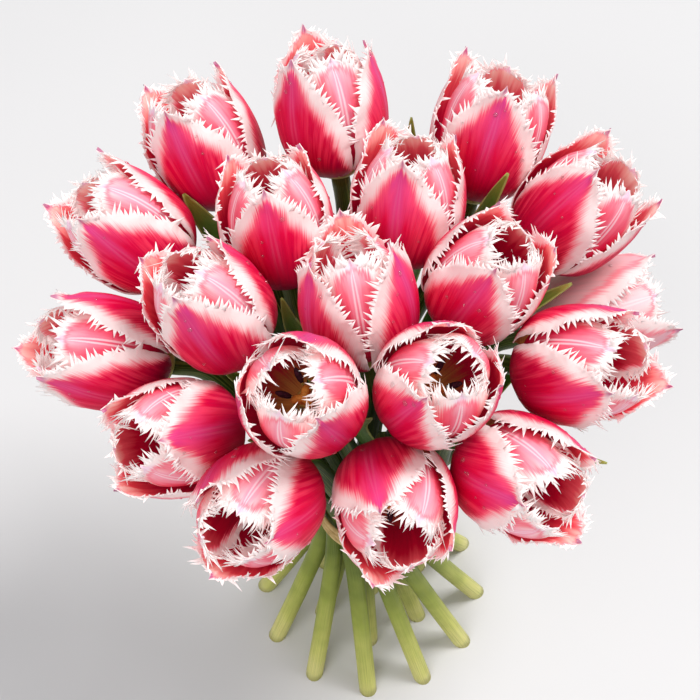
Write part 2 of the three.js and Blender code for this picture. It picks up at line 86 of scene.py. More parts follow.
WAIST_Z = 118.0
WAIST_CENTRE = (10.0, 2.0)
FOOT_CENTRE = (12.0, 5.0)
STEM_PITCH = 9.86
OUTER_RING = 1.95
INNER_RING_COUNT = 6
OUTER_RING_COUNT = 12
SPLAY_LENGTH = 40.0
FOOT_TWIST = 40.0
HEAD_TWIST = -38.0
FIRST_SLOT = 10.0
HEAD_Z = 260.0
SPIRAL_HEIGHTS = (0.0, 44.0, 84.0, 118.0, 150.0, 188.0)
NECK_LENGTH = 22.0
NECK_TOP = -3.0
MOUTH_RADIUS = 20.8
BLOOM_LENGTH = 58.0


# ---- small helpers


def smooth(value: np.ndarray | float, start: float, end: float) -> np.ndarray:
    """A soft step from 0 at start to 1 at end."""
    share = np.clip((value - start) / (end - start), 0.0, 1.0)
    return share * share * (3.0 - 2.0 * share)


def moved(points: np.ndarray, matrix: Matrix) -> np.ndarray:
    """Points placed by a matrix."""
    grid = np.array(matrix)
    return points @ grid[:3, :3].T + grid[:3, 3]


def unit(vectors: np.ndarray) -> np.ndarray:
    """The same directions, each one long."""
    return vectors / np.linalg.norm(vectors, axis=-1, keepdims=True)


class Bunch:
    """Where the bunch stands in the frame."""

    def __init__(self) -> None:
        """Finds the bunch by its tie, which the frame holds too."""
        low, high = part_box("tie")
        middle = (low + high) / 2.0
        self.shift = np.array([middle.x / MM - WAIST_CENTRE[0], middle.y / MM - WAIST_CENTRE[1], 0.0])

    def metres(self, points: np.ndarray) -> np.ndarray:
        """Points of the bunch, in metres in the frame."""
        return (points + self.shift) * MM

    def settle(self, mesh: Mesh, matrix: Matrix) -> None:
        """Puts a mesh, in mm and placed by a matrix, in metres in the frame."""
        set_coordinates(mesh, self.metres(moved(coordinates(mesh), matrix)))


def coordinates(mesh: Mesh) -> np.ndarray:
    """The points of a mesh as rows.

    Args:
        mesh: The mesh.

    Returns:
        An array with a row of x, y and z for each point.
    """
    numbers = np.empty(len(mesh.vertices) * 3)
    mesh.vertices.foreach_get("co", numbers)
    return numbers.reshape(-1, 3)


def set_coordinates(mesh: Mesh, points: np.ndarray) -> None:
    """Writes the points of a mesh."""
    mesh.vertices.foreach_set("co", points.ravel())


def vectors_of(mesh: Mesh, name: str) -> np.ndarray:
    """A vector attribute of a mesh as rows.

    Args:
        mesh: The mesh.
        name: The attribute's name.

    Returns:
        An array with a row of three numbers for each point.
    """
    numbers = np.empty(len(mesh.vertices) * 3)
    mesh.attributes[name].data.foreach_get("vector", numbers)
    return numbers.reshape(-1, 3)


def stand(name: str, data: ID) -> Object:
    """Puts a mesh, a light or a camera in the scene.

    Args:
        name: The new object's name.
        data: What it holds.

    Returns:
        The object.
    """
    thing = bpy.data.objects.new(name, data)
    bpy.context.scene.collection.objects.link(thing)
    return thing


def piece(name: str, mesh: Mesh, finishes: list[Material], node: str | None) -> Object:
    """A finished piece of the object: it rides on the body and may stand for a node.

    Args:
        name: The piece's name.
        mesh: Its mesh, in metres in the frame.
        finishes: Its materials, in the order of its faces' numbers.
        node: The node that it stands for, if it stands for one.

    Returns:
        The object.
    """
    for finish in finishes:
        mesh.materials.append(finish)
    mesh.shade_smooth()
    thing = stand(name, mesh)
    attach(thing, BODY)
    if node:
        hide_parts(node)
    LOG.info("%s: %d faces", name, len(mesh.polygons))
    return thing


def spin(bm: BMesh, section: list[BMVert | BMEdge], steps: int) -> None:
    """Spins a closed section once round the upright axis.

    Args:
        bm: The bmesh that holds the section.
        section: The section's points and edges.
        steps: How many steps the turn has.
    """
    bmesh.ops.spin(
        bm, geom=section, cent=(0.0, 0.0, 0.0), axis=(0.0, 0.0, 1.0),
        angle=FULL_TURN, steps=steps, use_merge=True,
    )


def mesh_of(bm: BMesh, name: str) -> Mesh:
    """The bmesh as a mesh.  The bmesh is freed.

    Args:
        bm: The bmesh.
        name: The mesh's name.

    Returns:
        The new mesh.
    """
    mesh = bpy.data.meshes.new(name)
    bm.to_mesh(mesh)
    bm.free()
    return mesh


def pour(bm: BMesh, mesh: Mesh) -> None:
    """Adds a mesh to a bmesh, and removes the mesh."""
    bm.from_mesh(mesh)
    bpy.data.meshes.remove(mesh)


def new_layers(bm: BMesh, *names: str) -> list[BMLayerItem]:
    """New vector layers on the points of a bmesh."""
    return [bm.verts.layers.float_vector.new(name) for name in names]


# ---- flowers and where they stand


@dataclass(frozen=True)
class Flower:
    """One flower: its collar's place, how its bloom leans, turns and opens, and how pale it is."""

    base: Place
    lean: float
    toward: float
    turn: float
    mouth: float
    pale: float = 0.0

    def matrix(self) -> Matrix:
        """The placement of the bloom, whose axis is +Z."""
        return (
            Matrix.Translation(self.base)
            @ Matrix.Rotation(math.radians(self.toward), 4, "Z")
            @ Matrix.Rotation(math.radians(self.lean), 4, "Y")
            @ Matrix.Rotation(math.radians(self.turn), 4, "Z")
        )


FLOWERS = (
    Flower((7, -3, 261), 18, 117, 101, 19.5),
    Flower((47, 17, 264), 19, -15, 13, 18),
    Flower((24, 48, 263), 15, 81, 54, 18.5),
    Flower((-27, 40, 260), 16, 122, 31, 18.5),
    Flower((-45, 2, 261), 24, 176, 99, 18.5),
    Flower((-14, -36, 275), 26, -111, 63, 18.5),
    Flower((28, -29, 269), 24, -60, 44, 18),
    Flower((83, 29, 229), 80, 14, 30, 21, pale=0.6),
    Flower((81, 51, 261), 35, 13, 83, 22.5),
    Flower((55, 82, 264), 28, 60, 78, 24.5),
    Flower((-5, 88, 275), 21, 111, 2, 20),
    Flower((-54, 83, 260), 27, 141, 6, 21.5),
    Flower((-76, 48, 254), 42, 171, 118, 21.5),
    Flower((-82, 7, 238), 56, -168, 96, 20.5),
    Flower((-55, -25, 237), 50, -138, 19, 19),
    Flower((-26, -55, 245), 54, -116, 114, 19.5),
    Flower((16, -48, 244), 60, -86, 84, 20),
    Flower((54, -40, 241), 56, -53, 118, 21),
    Flower((76, -3, 252), 49, -32, 17, 21),
)


class FlowerChance:
    """The repeatable run of numbers that gives each flower its small differences."""

    SPREAD = 7919
    START = 12345
    FACTOR = 48271
    RANGE = 2147483647

    def __init__(self, seed: int) -> None:
        """Starts the run from the flower's number."""
        self.state = (seed * self.SPREAD + self.START) % self.RANGE

    def draw(self) -> float:
        """The next number from 0 to 1."""
        self.state = (self.state * self.FACTOR) % self.RANGE
        return self.state / self.RANGE

    def vary(self, amount: float) -> float:
        """The next number from minus the amount to the amount."""
        return amount * (2.0 * self.draw() - 1.0)

    def skip(self, count: int) -> None:
        """Passes over some numbers."""
        for _ in range(count):
            self.draw()


# ---- curves


def hermite(
    start: np.ndarray, end: np.ndarray, leave: np.ndarray, arrive: np.ndarray, t: np.ndarray
) -> np.ndarray:
    """The cubic between two points with a slope at each.

    Args:
        start: The first point.
        end: The last point.
        leave: The slope at the first point.
        arrive: The slope at the last point.
        t: Parts of the way, from 0 to 1.

    Returns:
        The points on the cubic.
    """
    cubic = (2 * start - 2 * end + leave + arrive) * t**3
    return cubic + (-3 * start + 3 * end - 2 * leave - arrive) * t**2 + leave * t + start


class Track:
    """A row of points with the distance along it."""

    def __init__(self, rows: np.ndarray) -> None:
        """Measures the row.

        Args:
            rows: The points, one to a row.
        """
        self.rows = rows
        gaps = np.linalg.norm(np.diff(rows, axis=0), axis=1)
        self.distance = np.concatenate([[0.0], np.cumsum(gaps)])
        self.length = float(self.distance[-1])

    def reach(self, along: np.ndarray) -> tuple[np.ndarray, np.ndarray]:
        """Points and directions a distance along.

        Args:
            along: Distances along the row.

        Returns:
            The points and the unit directions there.
        """
        slopes = np.gradient(self.rows, self.distance, axis=0)
        points, directions = (
            np.stack([np.interp(along, self.distance, column) for column in table.T], axis=-1)
            for table in (self.rows, slopes)
        )
        return points, unit(directions)


class SpaceCurve(Track):
    """A smooth curve through points in space, spaced by the square root of their distances."""

    SAMPLES = 60
    FIRST_SIDE = (0.3, 1.0, 0.1)

    def __init__(self, points: np.ndarray) -> None:
        """Draws the curve.

        Args:
            points: The points that it passes through.
        """
        knots = np.array([2 * points[0] - points[1], *points, 2 * points[-1] - points[-2]], dtype=float)
        t = np.linspace(0.0, 1.0, self.SAMPLES, endpoint=False)[:, None]
        parts = []
        for step in range(len(points) - 1):
            p0, p1, p2, p3 = knots[step : step + 4]
            d0, d1, d2 = (np.linalg.norm(b - a) ** 0.5 for a, b in ((p0, p1), (p1, p2), (p2, p3)))
            leave = ((p1 - p0) / d0 - (p2 - p0) / (d0 + d1) + (p2 - p1) / d1) * d1
            arrive = ((p2 - p1) / d1 - (p3 - p1) / (d1 + d2) + (p3 - p2) / d2) * d1
            parts.append(hermite(p1, p2, leave, arrive, t))
        super().__init__(np.concatenate([*parts, knots[-2:-1]]))

    def at(self, shares: np.ndarray) -> tuple[np.ndarray, np.ndarray]:
        """Points and directions at parts of the length."""
        return self.reach(np.asarray(shares) * self.length)

    def frames(self, shares: np.ndarray) -> tuple[np.ndarray, np.ndarray, np.ndarray]:
        """Points, and two directions square to the curve that turn as little as they can.

        Args:
            shares: Parts of the length, from 0 to 1.

        Returns:
            The points, and the two directions at each.
        """
        points, directions = self.at(shares)
        sides = [unit(np.cross(directions[0], self.FIRST_SIDE))]
        for direction in directions[1:]:
            sides.append(unit(sides[-1] - direction * np.dot(sides[-1], direction)))
        across = np.array(sides)
        return points, across, np.cross(directions, across)


# ---- node graphs


def tone(code: str) -> tuple[float, float, float, float]:
    """A screen colour, written as #rrggbb, as a linear colour.

    Args:
        code: The screen colour.

    Returns:
        Red, green, blue and 1.
    """
    values = [int(code[place : place + 2], 16) / 255.0 for place in (1, 3, 5)]
    linear = [v / 12.92 if v <= 0.04045 else ((v + 0.055) / 1.055) ** 2.4 for v in values]
    return (*linear, 1.0)


Feed = NodeSocket | float | tuple
Stops = tuple[tuple[float, str], ...]


class Graph:
    """Writes a node tree as a sum of calls."""

    # a Mix node's two colours and its result
    COLOUR_SOCKETS = (6, 7, 2)

    def __init__(self, tree: NodeTree) -> None:
        """Takes the tree that is written."""
        self.tree = tree

    def node(self, kind: str, **settings: object) -> Node:
        """A new node with settings.

        Args:
            kind: The node's type.
            settings: The node's properties by name.

        Returns:
            The node.
        """
        node = self.tree.nodes.new(kind)
        for key, value in settings.items():
            setattr(node, key, value)
        return node

    def feed(self, socket: NodeSocket, value: Feed) -> None:
        """Links a socket to another, or sets it.

        Args:
            socket: The input.
            value: Another node's output, or a value.
        """
        if isinstance(value, NodeSocket):
            self.tree.links.new(value, socket)
        else:
            socket.default_value = value

    def math(self, operation: str, first: Feed, second: Feed = 0.0, clamp: bool = False) -> NodeSocket:
        """One sum.

        Args:
            operation: The sum's name.
            first: The first number.
            second: The second number.
            clamp: Whether the result is kept from 0 to 1.

        Returns:
            The result.
        """
        node = self.node("ShaderNodeMath", operation=operation, use_clamp=clamp)
        self.feed(node.inputs[0], first)
        self.feed(node.inputs[1], second)
        return node.outputs[0]

    def product(self, first: Feed, *others: Feed) -> NodeSocket:
        """The factors multiplied together.

        Args:
            first: The first factor.
            others: The other factors.

        Returns:
            The product.
        """
        for other in others:
            first = self.math("MULTIPLY", first, other)
        return first

    def span(self, value: Feed, start: Feed, end: Feed, low: Feed = 0.0, high: Feed = 1.0) -> NodeSocket:
        """A soft step from low at start to high at end.

        Args:
            value: The number that is looked at.
            start: Where the step starts.
            end: Where the step is full.
            low: The result before it.
            high: The result after it.

        Returns:
            The result.
        """
        node = self.node("ShaderNodeMapRange", interpolation_type="SMOOTHSTEP")
        for socket, feed in zip(node.inputs, (value, start, end, low, high)):
            self.feed(socket, feed)
        return node.outputs[0]

    def blend(self, share: Feed, first: Feed, second: Feed, how: str = "MIX") -> NodeSocket:
        """A colour between two.

        Args:
            share: How much of the second, from 0 to 1.
            first: The first colour.
            second: The second colour.
            how: The way that they are mixed.

        Returns:
            The colour.
        """
        node = self.node("ShaderNodeMix", data_type="RGBA", blend_type=how, clamp_factor=True)
        one, other, result = self.COLOUR_SOCKETS
        self.feed(node.inputs[0], share)
        self.feed(node.inputs[one], first)
        self.feed(node.inputs[other], second)
        return node.outputs[result]

    def ramp(self, value: Feed, stops: Stops) -> NodeSocket:
        """A colour from a row of places and colours.

        Args:
            value: The place on the row.
            stops: The places and their colours, in order.

        Returns:
            The colour.
        """
        node = self.node("ShaderNodeValToRGB")
        band = node.color_ramp
        while len(band.elements) < len(stops):
            band.elements.new(1.0)
        for element, (place, code) in zip(band.elements, stops):
            element.position = place
            element.color = tone(code)
        self.feed(node.inputs[0], value)
        return node.outputs[0]

    def noise(self, vector: Feed, scale: float, detail: float = 2.0) -> NodeSocket:
        """Noise from 0 to 1.

        Args:
            vector: The place.
            scale: How fine the noise is.
            detail: How many finer layers it has.

        Returns:
            The noise.
        """
        node = self.node("ShaderNodeTexNoise")
        self.feed(node.inputs["Vector"], vector)
        self.feed(node.inputs["Scale"], scale)
        self.feed(node.inputs["Detail"], detail)
        return node.outputs["Fac"]

    def vector(self, x: Feed, y: Feed, z: Feed) -> NodeSocket:
        """A vector from three numbers.

        Args:
            x: The first number.
            y: The second number.
            z: The third number.

        Returns:
            The vector.
        """
        node = self.node("ShaderNodeCombineXYZ")
        for socket, feed in zip(node.inputs, (x, y, z)):
            self.feed(socket, feed)
        return node.outputs[0]

    def attribute(self, name: str) -> list[NodeSocket]:
        """The three numbers of a vector attribute.

        Args:
            name: The attribute's name.

        Returns:
            The three numbers.
        """
        read = self.node("ShaderNodeAttribute", attribute_name=name)
        split = self.node("ShaderNodeSeparateXYZ")
        self.feed(split.inputs[0], read.outputs["Vector"])
        return list(split.outputs)

    def veins(self, place: list[NodeSocket]) -> list[NodeSocket]:
        """The fine and the broad streaks at a place in a vein fan.

        Args:
            place: The fan, the run and the seed.

        Returns:
            The fine and the broad streaks.
        """
        node = self.node("ShaderNodeGroup", node_tree=vein_group())
        for socket, feed in zip(node.inputs, place):
            self.feed(socket, feed)
        return list(node.outputs)

    def objects(self) -> NodeSocket:
        """The place on the object."""
        return self.node("ShaderNodeTexCoord").outputs["Object"]

    def bump(self, height: Feed, strength: float, distance: float) -> NodeSocket:
        """A normal from a height.

        Args:
            height: The height.
            strength: How much of it counts.
            distance: The relief of a height of 1, in metres.

        Returns:
            The normal.
        """
        node = self.node("ShaderNodeBump")
        node.inputs["Strength"].default_value = strength
        node.inputs["Distance"].default_value = distance
        self.feed(node.inputs["Height"], height)
        return node.outputs[0]


def new_material(name: str) -> tuple[Material, Graph, Node]:
    """A material with a graph and its shader.

    Args:
        name: The material's name.

    Returns:
        The material, its graph and its shader.
    """
    material = bpy.data.materials.new(name)
    material.use_nodes = True
    graph = Graph(material.node_tree)
    return material, graph, material.node_tree.nodes["Principled BSDF"]


def set_depth(shader: Node, specular: float, share: float, radius: Place) -> None:
    """Sets how much a surface shines and how far light goes into it.

    Args:
        shader: The material's shader.
        specular: The shine.
        share: How much of the light goes in.
        radius: How far red, green and blue go, in metres.
    """
    shader.inputs["Specular IOR Level"].default_value = specular
    shader.inputs["Subsurface Weight"].default_value = share
    shader.inputs["Subsurface Radius"].default_value = radius
    shader.inputs["Subsurface Scale"].default_value = 1.0


# how often the fine and the broad streaks come across the fan and along it
STREAKS = ((150.0, 0.04), (26.0, 0.03))


def vein_group() -> NodeTree:
    """The group of fine streaks that fan from a petal's root, shared by the petal and leaf finishes.

    Returns:
        The node group, built at the first call.
    """
    known = bpy.data.node_groups.get("Vein streaks")
    if known:
        return known
    tree = bpy.data.node_groups.new("Vein streaks", "ShaderNodeTree")
    for name in ("Fan", "Run", "Seed"):
        tree.interface.new_socket(name, in_out="INPUT", socket_type="NodeSocketFloat")
    for name in ("Fine", "Broad"):
        tree.interface.new_socket(name, in_out="OUTPUT", socket_type="NodeSocketFloat")
    graph = Graph(tree)
    given = graph.node("NodeGroupInput").outputs
    end = graph.node("NodeGroupOutput").inputs
    for socket, (count, stretch) in zip(end, STREAKS):
        place = graph.vector(graph.product(given[0], count), graph.product(given[1], stretch), given[2])
        graph.feed(socket, graph.noise(place, 1.0, 3.0))
    return tree


@dataclass(frozen=True)
class TepalFinish:
    """The look of one whorl's tepals, outside and inside, as screen colours.

    The constants are steps: a part aside, along, or of a noise where an effect starts and is full,
    sometimes with its strength at each.
    """

    name: str
    outside: Stops
    inside: Stops
    side_band: str
    rib: str
    rib_half: float
    stripe: str
    stripe_share: float
    blush: str
    rim: str
    needle: str
    point: str
    rim_width: float
    jag: float = 5.2
    # strength of the painted glow: emission that stands in for light shining through the thin tepals
    swing: float = 2.6
    glow: float = 0.3
    roughness: float = 0.5
    specular: float = 0.09
    streak: str = "#82003a"

    DRIFT = (0.3, 0.7, -0.05, 0.05)
    VARIETY = (0.0, 1.0, -0.08, 0.06)
    BAND_ASIDE = ((0.15, 0.45), (0.95, 0.55))
    BAND_ALONG = (0.2, 0.5)
    BAND_VEINS = (0.4, 0.62)
    BAND_SHARE = 0.6
    RIB_CORE = 0.25
    RIB_ALONG = (0.3, 0.8)
    RIB_VEINS = (0.25, 0.5, 0.6, 1.0)
    RIB_VARIETY = (0.1, 0.9, 0.3, 1.0)
    STRIPE_ASIDE = ((0.012, 0.035), (0.085, 0.055))
    STRIPE_ALONG = (0.35, 0.6)
    STREAK_VEINS = (0.5, 0.72)
    STREAK_ALONG = (1.0, 0.1)
    STREAK_SHARE = 0.4
    REACH_ALONG = ((0.1, 0.5), (0.98, 0.72, 0.4, 1.0))
    REACH_INSIDE = (0.0, 1.0, 1.0, 0.5)
    LEAST_REACH = 0.01
    RIM_ALONG = (0.12, 0.3)
    BLUSH_DEPTH = (0.0, 0.45)
    RIM_DEPTH = (0.18, 0.72)
    FRINGE = (0.3, -1.2)
    POINT_ALONG = (0.94, 1.0)
    POINT_ASIDE = (0.9, 0.2)
    POINT_SHARE = 0.75
    # how much painted glow the whole tepal, the fringe on the outside and the upper lining get
    LEAST_GLOW = 0.12
    FRINGE_GLOW = 0.2
    INNER_GLOW = (0.5, 0.9, 0.5, 0.8)
    SUBSURFACE = (0.1, (0.003, 0.001, 0.001))
    RELIEF = (0.4, 0.6)
    BUMP = (0.35, 0.0007)

    def material(self) -> Material:
        """Builds the material from the attributes place, vein, face and pale.

        Returns:
            The material.
        """
        material, graph, shader = new_material(self.name)
        times, span = graph.product, graph.span
        across, share, margin = graph.attribute("place")
        vein = graph.attribute("vein")
        lining = graph.attribute("face")[0]
        fine, broad = graph.veins(vein)
        side = graph.math("ABSOLUTE", across)

        body = self._body(graph, side, share, fine, broad, vein[2], lining)
        edge = self._margin(graph, share, margin, fine, broad, lining)
        colour = graph.blend(span(edge, *self.BLUSH_DEPTH), body, tone(self.blush))
        colour = graph.blend(span(edge, *self.RIM_DEPTH), colour, tone(self.rim))
        fringe = span(margin, *self.FRINGE)
        colour = graph.blend(fringe, colour, tone(self.needle))
        point = times(span(share, *self.POINT_ALONG), span(side, *self.POINT_ASIDE), self.POINT_SHARE)
        colour = graph.blend(point, colour, tone(self.point))

        graph.feed(shader.inputs["Base Color"], colour)
        # Painted glow: the tepals emit their own colour as painted light shining through the thin petals, a
        # little everywhere, more on the fringe of the outside and most on the upper lining.
        painted_glow_share = span(lining, 0.0, 1.0, times(fringe, self.FRINGE_GLOW), span(share, *self.INNER_GLOW))
        glow = graph.blend(graph.math("ADD", painted_glow_share, self.LEAST_GLOW), tone("#000000"), colour)
        graph.feed(shader.inputs["Emission Color"], glow)
        shader.inputs["Emission Strength"].default_value = self.glow
        shader.inputs["Roughness"].default_value = self.roughness
        set_depth(shader, self.specular, *self.SUBSURFACE)
        height = graph.math("ADD", times(fine, self.RELIEF[0]), times(broad, self.RELIEF[1]))
        graph.feed(shader.inputs["Normal"], graph.bump(height, *self.BUMP))
        return material

    def _body(
        self, graph: Graph, side: Feed, share: Feed, fine: Feed, broad: Feed, seed: Feed, lining: Feed
    ) -> NodeSocket:
        """The colour away from the margin, outside and inside.

        Args:
            graph: The material's graph.
            side: The part aside from the middle.
            share: The part along.
            fine: The fine streaks.
            broad: The broad streaks.
            seed: The tepal's own number.
            lining: 1 on the inside and 0 on the outside.

        Returns:
            The colour.
        """
        times, span = graph.product, graph.span
        variety = graph.math("FRACT", seed)
        drift = span(broad, *self.DRIFT)
        shift = graph.math("ADD", drift, span(variety, *self.VARIETY))
        outer = graph.ramp(graph.math("ADD", share, shift), self.outside)
        band = times(
            *(span(side, *step) for step in self.BAND_ASIDE),
            times(span(share, *self.BAND_ALONG), span(broad, *self.BAND_VEINS)),
        )
        outer = graph.blend(times(band, self.BAND_SHARE), outer, tone(self.side_band))
        rib = times(span(side, self.rib_half, self.rib_half * self.RIB_CORE), span(share, *self.RIB_ALONG))
        rib = times(rib, times(span(broad, *self.RIB_VEINS), span(variety, *self.RIB_VARIETY)))
        outer = graph.blend(rib, outer, tone(self.rib))
        stripe = times(
            *(span(side, *step) for step in self.STRIPE_ASIDE),
            times(span(share, *self.STRIPE_ALONG), self.stripe_share),
        )
        outer = graph.blend(stripe, outer, tone(self.stripe))
        streak = times(span(fine, *self.STREAK_VEINS), span(share, *self.STREAK_ALONG), self.STREAK_SHARE)
        outer = graph.blend(streak, outer, tone(self.streak))
        inner = graph.ramp(graph.math("ADD", share, drift), self.inside)
        body = graph.blend(lining, outer, inner)
        return graph.blend(graph.attribute("pale")[0], body, tone(self.rim))

    def _margin(
        self, graph: Graph, share: Feed, margin: Feed, fine: Feed, broad: Feed, lining: Feed
    ) -> NodeSocket:
        """How near the pale margin a place is, with the veins' ragged edge.

        Args:
            graph: The material's graph.
            share: The part along.
            margin: The distance inside the margin, in mm.
            fine: The fine streaks.
            broad: The broad streaks.
            lining: 1 on the inside and 0 on the outside.

        Returns:
            A number from 0 to 1, which is at the margin.
        """
        times, span = graph.product, graph.span
        jag = times(graph.math("SUBTRACT", fine, 0.5), self.jag)
        swing = times(graph.math("SUBTRACT", broad, 0.5), self.swing)
        depth = graph.math("ADD", margin, graph.math("ADD", jag, swing))
        reach = times(*(span(share, *step) for step in self.REACH_ALONG))
        reach = times(times(reach, span(lining, *self.REACH_INSIDE)), self.rim_width)
        part = graph.math("DIVIDE", depth, graph.math("ADD", reach, self.LEAST_REACH))
        return times(graph.math("SUBTRACT", 1.0, part, clamp=True), span(share, *self.RIM_ALONG))


OUTER_FINISH = TepalFinish(
    name="fringed tepal outer",
    outside=(
        (0.0, "#a8a060"),
        (0.035, "#8e1438"),
        (0.12, "#920036"),
        (0.34, "#bc0036"),
        (0.6, "#d60842"),
        (0.84, "#e2427a"),
        (1.0, "#ca4090"),
    ),
    inside=(
        (0.0, "#a8743a"),
        (0.13, "#8a4a2a"),
        (0.26, "#8c0a26"),
        (0.55, "#b40830"),
        (0.78, "#dc4652"),
        (0.92, "#f0a09a"),
        (1.0, "#f4c4bc"),
    ),
    side_band="#ee4462",
    rib="#d64080",
    rib_half=0.2,
    stripe="#ec88ae",
    stripe_share=0.1,
    blush="#f45e76",
    rim="#f3dcda",
    needle="#f4e9e7",
    point="#a82474",
    rim_width=8.8,
)

INNER_FINISH = TepalFinish(
    name="fringed tepal inner",
    outside=(
        (0.0, "#a8a060"),
        (0.05, "#981038"),
        (0.3, "#ba0838"),
        (0.52, "#de2450"),
        (0.74, "#f0687e"),
        (0.9, "#f6a8b4"),
        (1.0, "#f8c8cc"),
    ),
    inside=(
        (0.0, "#a8743a"),
        (0.15, "#8a4a2a"),
        (0.3, "#8c0a26"),
        (0.58, "#b00a2e"),
        (0.78, "#d8505c"),
        (0.92, "#f0aaa2"),
        (1.0, "#f6d0c8"),
    ),
    side_band="#e8244a",
    rib="#f2a0b4",
    rib_half=0.24,
    stripe="#fbe8ec",
    stripe_share=0.55,
    blush="#f25c76",
    rim="#f5e1df",
    needle="#f6ebe9",
    point="#f0c8e0",
    rim_width=9.8,
)


@dataclass(frozen=True)
class GreenFinish:
    """The look of a stem or a leaf: a ramp along it, veins and a soft sheen."""

    name: str
    along: Stops
    vein: str
    edge: str
    roughness: float

    CLOUD_SCALE = 60.0
    DRIFT = (0.3, 0.7, -0.03, 0.03)
    VEINS = (0.45, 0.65)
    VEIN_SHARE = 0.45
    EDGE = (0.9, 0.2)
    SPECULAR = 0.2
    SUBSURFACE = (0.08, (0.001, 0.002, 0.0005))
    BUMP = (0.35, 0.0004)

    def material(self) -> Material:
        """Builds the material from the attributes place and vein.

        Returns:
            The material.
        """
        material, graph, shader = new_material(self.name)
        _, share, margin = graph.attribute("place")
        fine, broad = graph.veins(graph.attribute("vein"))
        cloud = graph.noise(graph.objects(), self.CLOUD_SCALE)
        body = graph.ramp(graph.math("ADD", share, graph.span(cloud, *self.DRIFT)), self.along)
        vein = graph.product(graph.span(fine, *self.VEINS), self.VEIN_SHARE)
        body = graph.blend(vein, body, tone(self.vein))
        body = graph.blend(graph.span(margin, *self.EDGE), body, tone(self.edge))
        graph.feed(shader.inputs["Base Color"], body)
        shader.inputs["Roughness"].default_value = self.roughness
        set_depth(shader, self.SPECULAR, *self.SUBSURFACE)
        graph.feed(shader.inputs["Normal"], graph.bump(graph.math("ADD", fine, broad), *self.BUMP))
        return material


STEM_FINISH = GreenFinish(
    name="stem green",
    # Partly painted shade: the pale yellow-green foot is the stem's own colour, and the deep dark green
    # from mid-stem up to the neck is painted shade where the heads and leaves shade the stems.
    along=(
        (0.0, "#ded88a"),
        (0.07, "#cccc70"),
        (0.2, "#9aa448"),
        (0.34, "#606f28"),
        (0.55, "#2e420e"),
        (0.9, "#24380a"),
        (1.0, "#3e5418"),
    ),
    vein="#8a9444",
    edge="#a9b977",
    roughness=0.42,
)

LEAF_FINISH = GreenFinish(
    name="leaf green",
    # Partly painted shade: the very dark green low on the blade, down among the stems, is painted shade
    # from the heads above. The lighter green and the yellowing tip are the leaf's own colour.
    along=(
        (0.0, "#4a6022"),
        (0.18, "#2e4612"),
        (0.5, "#345418"),
        (0.85, "#547424"),
        (0.96, "#8c8a34"),
        (1.0, "#b8a850"),
    ),
    vein="#4e6c28",
    edge="#a5ab5c",
    roughness=0.45,
)


@dataclass(frozen=True)
class PlainFinish:
    """The look of a small part: one colour that noise drifts to another."""

    name: str
    colour: str
    drift: str
    scale: float
    roughness: float
    bump: float = 0.0

    CLOUD = (0.35, 0.65)
    BUMP_SHARE = 0.6

    def material(self) -> Material:
        """Builds the material from noise.

        Returns:
            The material.
        """
        material, graph, shader = new_material(self.name)
        cloud = graph.noise(graph.objects(), self.scale, 3.0)
        colour = graph.blend(graph.span(cloud, *self.CLOUD), tone(self.colour), tone(self.drift))
        graph.feed(shader.inputs["Base Color"], colour)
        shader.inputs["Roughness"].default_value = self.roughness
        if self.bump:
            graph.feed(shader.inputs["Normal"], graph.bump(cloud, self.BUMP_SHARE, self.bump))
        return material


OVARY_FINISH = PlainFinish("ovary", "#b9bd6a", "#a3a854", 300.0, 0.45)
STIGMA_FINISH = PlainFinish("stigma", "#c79a3c", "#b07a26", 500.0, 0.7, 0.0003)
ANTHER_FINISH = PlainFinish("anther", "#2c1526", "#45203a", 700.0, 0.75, 0.0003)
PITH_FINISH = PlainFinish("stem pith", "#d5d9a6", "#c3c98a", 400.0, 0.6)
RAFFIA_FINISH = PlainFinish("raffia", "#c9ab73", "#a98a52", 260.0, 0.75, 0.0004)
FLOOR_FINISH = PlainFinish("floor", "#dcdbdb", "#dad9d9", 2.0, 0.85)


@dataclass(frozen=True)
class WaterFinish:
    """The look of clear water."""

    name: str = "dew"
    density: float = 1.33
    roughness: Pair = (0.02, 0.06)
    clearness: float = 0.95
    scale: float = 900.0
    bump: float = 0.00004

    FILM = (0.3, 0.7)
    BUMP_SHARE = 0.4

    def material(self) -> Material:
        """Builds the material, with a faint film.

        Returns:
            The material.
        """
        material, graph, shader = new_material(self.name)
        film = graph.noise(graph.objects(), self.scale)
        shader.inputs["Base Color"].default_value = tone("#ffffff")
        graph.feed(shader.inputs["Roughness"], graph.span(film, *self.FILM, *self.roughness))
        graph.feed(shader.inputs["Normal"], graph.bump(film, self.BUMP_SHARE, self.bump))
        shader.inputs["IOR"].default_value = self.density
        shader.inputs["Transmission Weight"].default_value = self.clearness
        return material


# ---- tepals


class Whorl(Enum):
    """The two rings of three tepals."""

    OUTER = "outer"
    INNER = "inner"


class BloomPart(IntEnum):
    """The numbers of a bloom's faces, in the order of its finishes."""

    OUTER = 0
    INNER = 1
    COLLAR = 2


@dataclass(frozen=True)
class TepalForm:
    """The shape of one whorl's tepals, in mm."""

    whorl: Whorl
    profile: tuple[Pair, ...]
    half_width: float
    widest: float
    fullness: float
    crest_fullness: float
    mucro: float
    edge_draw: float
    pinwheel: float
    draws: int
    needle: Pair
    tip_needle: float
    spikes: int
    spike: Pair
    spike_start: float
    spike_lean: float
    spike_lift: float
    wave: float
    groove: float

    def half(self, share: np.ndarray) -> np.ndarray:
        """Half the width at parts of the length.

        Args:
            share: Parts of the length, from 0 to 1.

        Returns:
            The half widths, in mm.
        """
        bend = math.log(0.5) / math.log(self.widest)
        wave = np.sin(math.pi * np.clip(share, 0.0, 1.0) ** bend)
        power = np.where(share < self.widest, self.fullness, self.crest_fullness)
        return self.half_width * np.maximum(wave, 0.0) ** power


